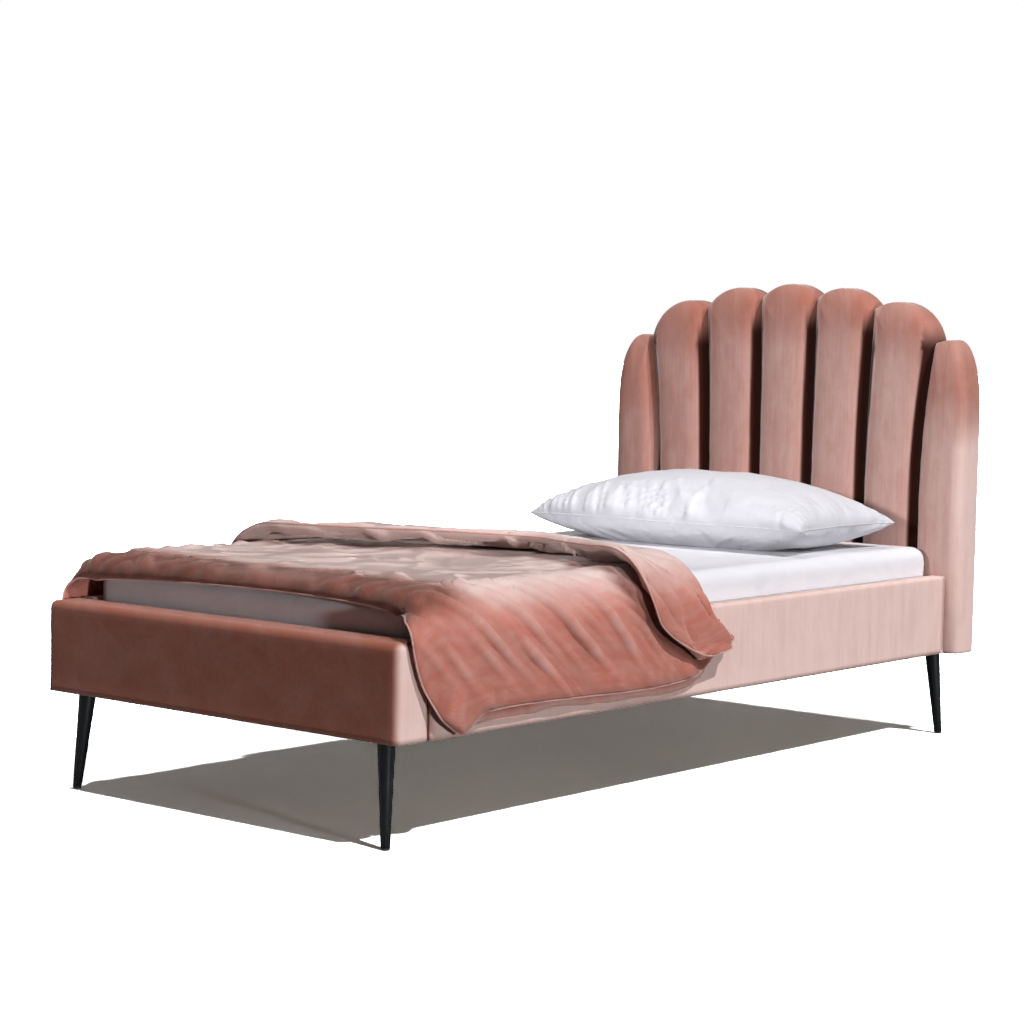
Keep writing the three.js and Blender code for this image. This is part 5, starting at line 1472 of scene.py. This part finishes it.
class BED_OT_duvet(bpy.types.Operator):
    """Builds the velvet duvet, turned down once, with its corded edge"""

    bl_idname = "bed.duvet"
    bl_label = "Duvet"

    def execute(self, context):
        sizes = context.scene.bed_sizes
        form = DuvetForm(sizes)
        s, d, grid, hidden, layer, from_hem = form.grid(DUVET_COLUMNS, DUVET_STEP)
        rows, columns = grid.shape[:2]
        ridge = form.ridges(s, d) + form.rumples(s, d, layer, from_hem)
        ridge = ridge * (1 - hidden) * from_border(s.shape, 2)
        grid = grid + grid_normals(grid) * (0.35 * ridge)[..., None]
        grid = self.drape(grid, hidden)
        fine_rows, fine_columns = int(rows * FINER), int(columns * FINER)
        packed = np.concatenate([grid, np.stack([s, d, hidden, layer * 1.0, from_hem], 2)], 2)
        packed = finer_grid(packed, fine_rows, fine_columns)
        grid, (s, d, hidden, layer, from_hem) = packed[..., :3], np.moveaxis(packed[..., 3:], 2, 0)
        ridge = form.ridges(s, d) + form.rumples(s, d, layer > 0.5, from_hem)
        ridge = ridge * (1 - np.clip(hidden, 0, 1)) * from_border(s.shape, 3)
        grid = grid + grid_normals(grid) * (0.8 * ridge)[..., None]
        piece, border = padded_sheet("velvet_duvet", grid, form.thickness(s), STITCHED_EDGE)
        self.mark_cloth(piece, form, s, d, layer, ridge)
        dress(piece, "Duvet Velvet", "duvet_velvet", "duvet", "duvet")
        cord = tube("duvet_piping", border, sizes.piping, 8, closed=True)
        dress(cord, "Duvet Piping", "duvet_velvet", "duvet")
        self.lower_layer(form, sizes)
        return {"FINISHED"}

    def drape(self, grid, hidden):
        """The middle surface after a short settling of the cloth, held near its border and under the flap."""
        rows, columns = grid.shape[:2]
        cloth = piece_from("duvet_middle", grid.reshape(-1, 3), grid_faces(rows, columns))
        inside = from_border((rows, columns), 3)
        held = np.where(inside < 0.3, 0.7, 0.02 + 0.4 * hidden).ravel()
        grown = (inside * (1 - hidden)).ravel()
        settle(cloth, 24, 0.010, held, grown, growth=0.06, bending=5.0, stretch=30, inward=0.0015)
        grid = corners_of(cloth).reshape(rows, columns, 3)
        bpy.data.objects.remove(cloth)
        return grid

    def mark_cloth(self, piece, form, s, d, layer, ridge):
        """Marks the pile: painted light on top and painted highlights on the crests, painted shade at the foot, low
        down and below the flap, and random wear.
        """
        on_top = 1 - smooth_step(0.1, 0.9, form.shoulder(s))
        worn = layered(s * 6, d * 6, 0, 97, 3)
        foot = 1 - smooth_step(0.02, 0.17, d)
        from_flap = np.abs(d - curve_through(DUVET_HEM_BORDER, s / form.reach) + 0.012)
        below = np.clip(1 - from_flap / 0.045, 0, 1) * (layer < 0.5)
        crest = np.clip(ridge / 0.008, 0, 1)
        # Painted light on top, and painted highlights on the crests; the worn part is random wear.
        lifted_and_lit = 0.08 + on_top * (1 - foot) + 0.16 * crest**3 * (1 - on_top) + 0.05 * worn
        # Painted shade on the foot slope, low down between the crests and just below the flap.
        low = smooth_step(0.12, 0.3, form.fan(s, d)[1]) * (1 - crest)
        pressed_and_shaded = 0.1 + 1.4 * foot * on_top * (1 - 0.4 * crest) + 0.4 * low + below + 0.08 * worn
        for name, values in (("Lifted And Lit", np.clip(lifted_and_lit, 0, 1)), ("Pressed And Shaded", np.clip(pressed_and_shaded, 0, 1))):
            mark_points(piece, name, np.concatenate([values.ravel()] * 2))

    def lower_layer(self, form, sizes):
        """The cover's inner edge, which shows below the side hem."""
        d = np.linspace(0.075, 0.93, 150)
        edge = form.reach * curve_through(DUVET_SIDE_REACH, d)
        low = edge + 0.021 + 0.006 * noise(d * 8, 0, 0, 67)
        low = low - 0.03 * smooth_step(0.85, 0.93, d) - 0.02 * (1 - smooth_step(0.075, 0.13, d))
        share = np.linspace(0, 1, 14)[:, None]
        s = (edge - 0.05)[None, :] * (1 - share) + low[None, :] * share
        wide = np.broadcast_to(d, s.shape)
        ripple = 0.0012 * noise(wide * 26, s * 9, 0, 71)
        grid = form.place(s, wide, ripple - 0.0015)
        x_in = RAIL_HIGH.x + 0.0045
        grid[..., 0] = x_in + 0.003 * smooth_step(0, 1, share) + ripple
        piece = padded_sheet("duvet_inner_edge", grid[:, ::-1], np.full(s.shape, 0.0055), 0.012, 0.3)[0]
        down = np.concatenate([np.broadcast_to(share, s.shape)[:, ::-1].ravel()] * 2)
        # Painted light along the lower layer's bottom edge, and painted shade over its upper part in the gap below
        # the hem.
        mark_points(piece, "Lifted And Lit", 0.5 * smooth_step(0.7, 0.95, down))
        mark_points(piece, "Painted Shade", 1 - smooth_step(0.62, 0.8, down))
        dress(piece, "Duvet Velvet", "duvet_velvet", "duvet")
        cord = tube("duvet_inner_piping", grid[-1], sizes.piping * 0.8, 8)
        dress(cord, "Duvet Piping", "duvet_velvet", "duvet")


# ---- Finishes of the frame's own nodes ---------------------------------------------------


class BED_OT_frame_finishes(bpy.types.Operator):
    """Gives the timber, metal, plastic and cloth parts of the frame their finishes"""

    bl_idname = "bed.frame_finishes"
    bl_label = "Frame Finishes"

    def execute(self, context):
        finishes = (
            ("slat_tape", "Webbing"),
            ("slat_ledge", "Pine"),
            ("slat_", "Birch Slats"),
            ("side_rail_board", "Pine"),
            ("footboard_frame", "Pine Across"),
            ("headboard_base_rail", "Pine Across"),
            ("headboard_front_panel", "Plywood"),
            ("headboard_rear_panel", "Plywood"),
            ("headboard_dust_cover", "Dust Cloth"),
            ("headboard_bolt", "Zinc"),
            ("corner_bracket", "Zinc"),
            ("bracket_bolt", "Zinc"),
            ("leg_plate", "Zinc"),
            ("leg_glide", "Black Plastic"),
        )
        for name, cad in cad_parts.items():
            for start, finish in finishes:
                if name.startswith(start):
                    cad.data.materials.clear()
                    cad.data.materials.append(material(finish))
                    break
        return {"FINISHED"}


# ---- Stage -----------------------------------------------------------------------------


def seen_rays(tree):
    """1 for rays from the camera, mirrors and glass, 0 for light on the object."""
    path = tree.nodes.new("ShaderNodeLightPath").outputs
    both = maths(tree, "MAXIMUM", path["Is Camera Ray"], path["Is Glossy Ray"])
    return maths(tree, "MAXIMUM", both, path["Is Transmission Ray"])


LIT_FLOOR = ((3.95, 3.95, 4.0), (4.7, 4.6, 4.55))
MIRRORED_FLOOR = (0.8, 0.8, 0.8)
FLOOR_BOUNCE = (0.08, 0.08, 0.08)
# colour of the painted light that glows in the floor's shade
SHADE_GLOW = (0.9, 0.92, 0.85, 1)
# each distant lamp: strength, rise and swing in degrees, and its spread
LAMPS = {
    "key_lamp": (2.55, 52.5, 8, 1.2),
    "overhead_lamp": (0.85, 79, 180, 2.0),
    "side_lamp": (1.55, 2, 14, 3.0),
}
CAMERA_PLACE = (3.5792, -4.4408, 0.9831)
CAMERA_SWING, CAMERA_FALL, CAMERA_ROLL = 39.643, 4.167, 1.113
CAMERA_LENS = 87.55


def pale_floor():
    """Floor that is seen white where it is lit, with faint drag marks in the shade, and gives little light back; a
    faint glow that only the camera sees paints light into the shade.
    """
    stone = bpy.data.materials.new("Pale Floor")
    stone.use_nodes = True
    tree = stone.node_tree
    tree.nodes.clear()
    places = object_places(tree)
    drag = grain(tree, stretched(tree, places, (3.0, 30.0, 1.0)), 1.0, 3.0, 0.5, 0.4)
    cloud = grain(tree, places, 2.0, 4.0, 0.6, 0.3)
    tone = add(tree, times(tree, drag, 0.6), times(tree, cloud, 0.4))
    seen = blend_colour(tree, ranged(tree, tone, 0.35, 0.65), *LIT_FLOOR)
    seen_share = seen_rays(tree)
    direct = tree.nodes.new("ShaderNodeLightPath").outputs["Is Camera Ray"]
    mirrored = blend_colour(tree, seen_share, FLOOR_BOUNCE, MIRRORED_FLOOR)
    surface = node(tree, "ShaderNodeBsdfDiffuse", {"Color": blend_colour(tree, direct, mirrored, seen)})
    # Painted light: a faint glow, seen only by the camera, lightens the floor in the object's shadow and shows the
    # drag marks there.
    strength = times(tree, direct, ranged(tree, tone, 0.36, 0.64, 0.012, 0.034))
    glow = node(tree, "ShaderNodeEmission", {"Color": SHADE_GLOW, "Strength": strength})
    both = node(tree, "ShaderNodeAddShader", {0: surface.outputs[0], 1: glow.outputs[0]})
    out = tree.nodes.new("ShaderNodeOutputMaterial")
    tree.links.new(both.outputs[0], out.inputs["Surface"])
    return stone


def sun(name, energy, rise, swing, spread):
    """A distant lamp, risen by an angle and swung from +X towards the foot."""
    lamp = bpy.data.objects.new(name, bpy.data.lights.new(name, "SUN"))
    bpy.context.scene.collection.objects.link(lamp)
    lamp.data.energy = energy
    lamp.data.angle = math.radians(spread)
    rise, swing = math.radians(rise), math.radians(swing)
    towards = Vector((math.cos(rise) * math.cos(swing), -math.cos(rise) * math.sin(swing), math.sin(rise)))
    lamp.rotation_euler = towards.to_track_quat("Z", "Y").to_euler()


class BED_OT_stage(bpy.types.Operator):
    """Builds the pale floor, the lamps, the sky and the camera"""

    bl_idname = "bed.stage"
    bl_label = "Stage"

    def execute(self, context):
        scene = context.scene
        deselect_all()
        bpy.ops.mesh.primitive_plane_add(size=120, location=(0, 0, 0))
        floor = context.active_object
        floor.name = "floor"
        floor.data.materials.append(pale_floor())

        sky = scene.world or bpy.data.worlds.new("Sky")
        scene.world = sky
        sky.use_nodes = True
        tree = sky.node_tree
        tree.nodes.clear()
        shown = node(tree, "ShaderNodeBackground", {"Color": (1, 1, 1, 1), "Strength": 1.0})
        soft = node(tree, "ShaderNodeBackground", {"Color": (1.0, 0.98, 0.97, 1), "Strength": 0.02})
        mix = node(tree, "ShaderNodeMixShader", {0: seen_rays(tree), 1: soft.outputs[0], 2: shown.outputs[0]})
        out = tree.nodes.new("ShaderNodeOutputWorld")
        tree.links.new(mix.outputs[0], out.inputs[0])

        for name, values in LAMPS.items():
            sun(name, *values)

        head = bpy.data.objects.new("head_lamp", bpy.data.lights.new("head_lamp", "SPOT"))
        scene.collection.objects.link(head)
        head.data.energy = 225
        head.data.spot_size, head.data.spot_blend = math.radians(25), 0.35
        head.data.shadow_soft_size = 0.15
        head.visible_camera = False
        head.location = (0.3, -2.3, 1.2)
        aim = Vector((0.05, 1.0, 0.85)) - head.location
        head.rotation_euler = (-aim).to_track_quat("Z", "Y").to_euler()

        camera = bpy.data.objects.new("camera", bpy.data.cameras.new("camera"))
        scene.collection.objects.link(camera)
        scene.camera = camera
        camera.data.lens, camera.data.sensor_width = CAMERA_LENS, 36.0
        camera.data.clip_end = 200.0
        az, el, roll = (math.radians(v) for v in (CAMERA_SWING, CAMERA_FALL, CAMERA_ROLL))
        ahead = Vector((-math.sin(az) * math.cos(el), math.cos(az) * math.cos(el), -math.sin(el)))
        level = Vector((math.cos(az), math.sin(az), 0))
        above = level.cross(ahead)
        right = level * math.cos(roll) + above * math.sin(roll)
        up = above * math.cos(roll) - level * math.sin(roll)
        turn = Matrix((right, up, -ahead)).transposed().to_4x4()
        camera.matrix_world = Matrix.Translation(CAMERA_PLACE) @ turn
        scene.view_settings.view_transform = "Standard"
        return {"FINISHED"}


# ---- Panel and registration ---------------------------------------------------------------


PIECES = (
    BED_OT_headboard_channels,
    BED_OT_covers,
    BED_OT_legs,
    BED_OT_mattress,
    BED_OT_fitted_sheet,
    BED_OT_pillow,
    BED_OT_duvet,
    BED_OT_frame_finishes,
    BED_OT_stage,
)


class BED_PT_panel(bpy.types.Panel):
    """Lists the bed's settings and the pieces that can be built"""

    bl_idname = "BED_PT_panel"
    bl_label = "Scallop Bed"
    bl_space_type = "VIEW_3D"
    bl_region_type = "UI"
    bl_category = "Bed"

    def draw(self, context):
        for settings in (context.scene.bed_sizes, context.scene.bed_colours):
            box = self.layout.box()
            for key in settings.__annotations__:
                box.prop(settings, key)
        for piece in PIECES:
            self.layout.operator(piece.bl_idname)


CLASSES = (BedSizes, BedColours, *PIECES, BED_PT_panel)


def register():
    for cls in CLASSES:
        bpy.utils.register_class(cls)
    bpy.types.Scene.bed_sizes = bpy.props.PointerProperty(type=BedSizes)
    bpy.types.Scene.bed_colours = bpy.props.PointerProperty(type=BedColours)


def unregister():
    del bpy.types.Scene.bed_colours
    del bpy.types.Scene.bed_sizes
    for cls in reversed(CLASSES):
        bpy.utils.unregister_class(cls)


def main():
    register()
    for piece in PIECES:
        space, name = piece.bl_idname.split(".")
        getattr(getattr(bpy.ops, space), name)()


if __name__ == "__main__":
    main()
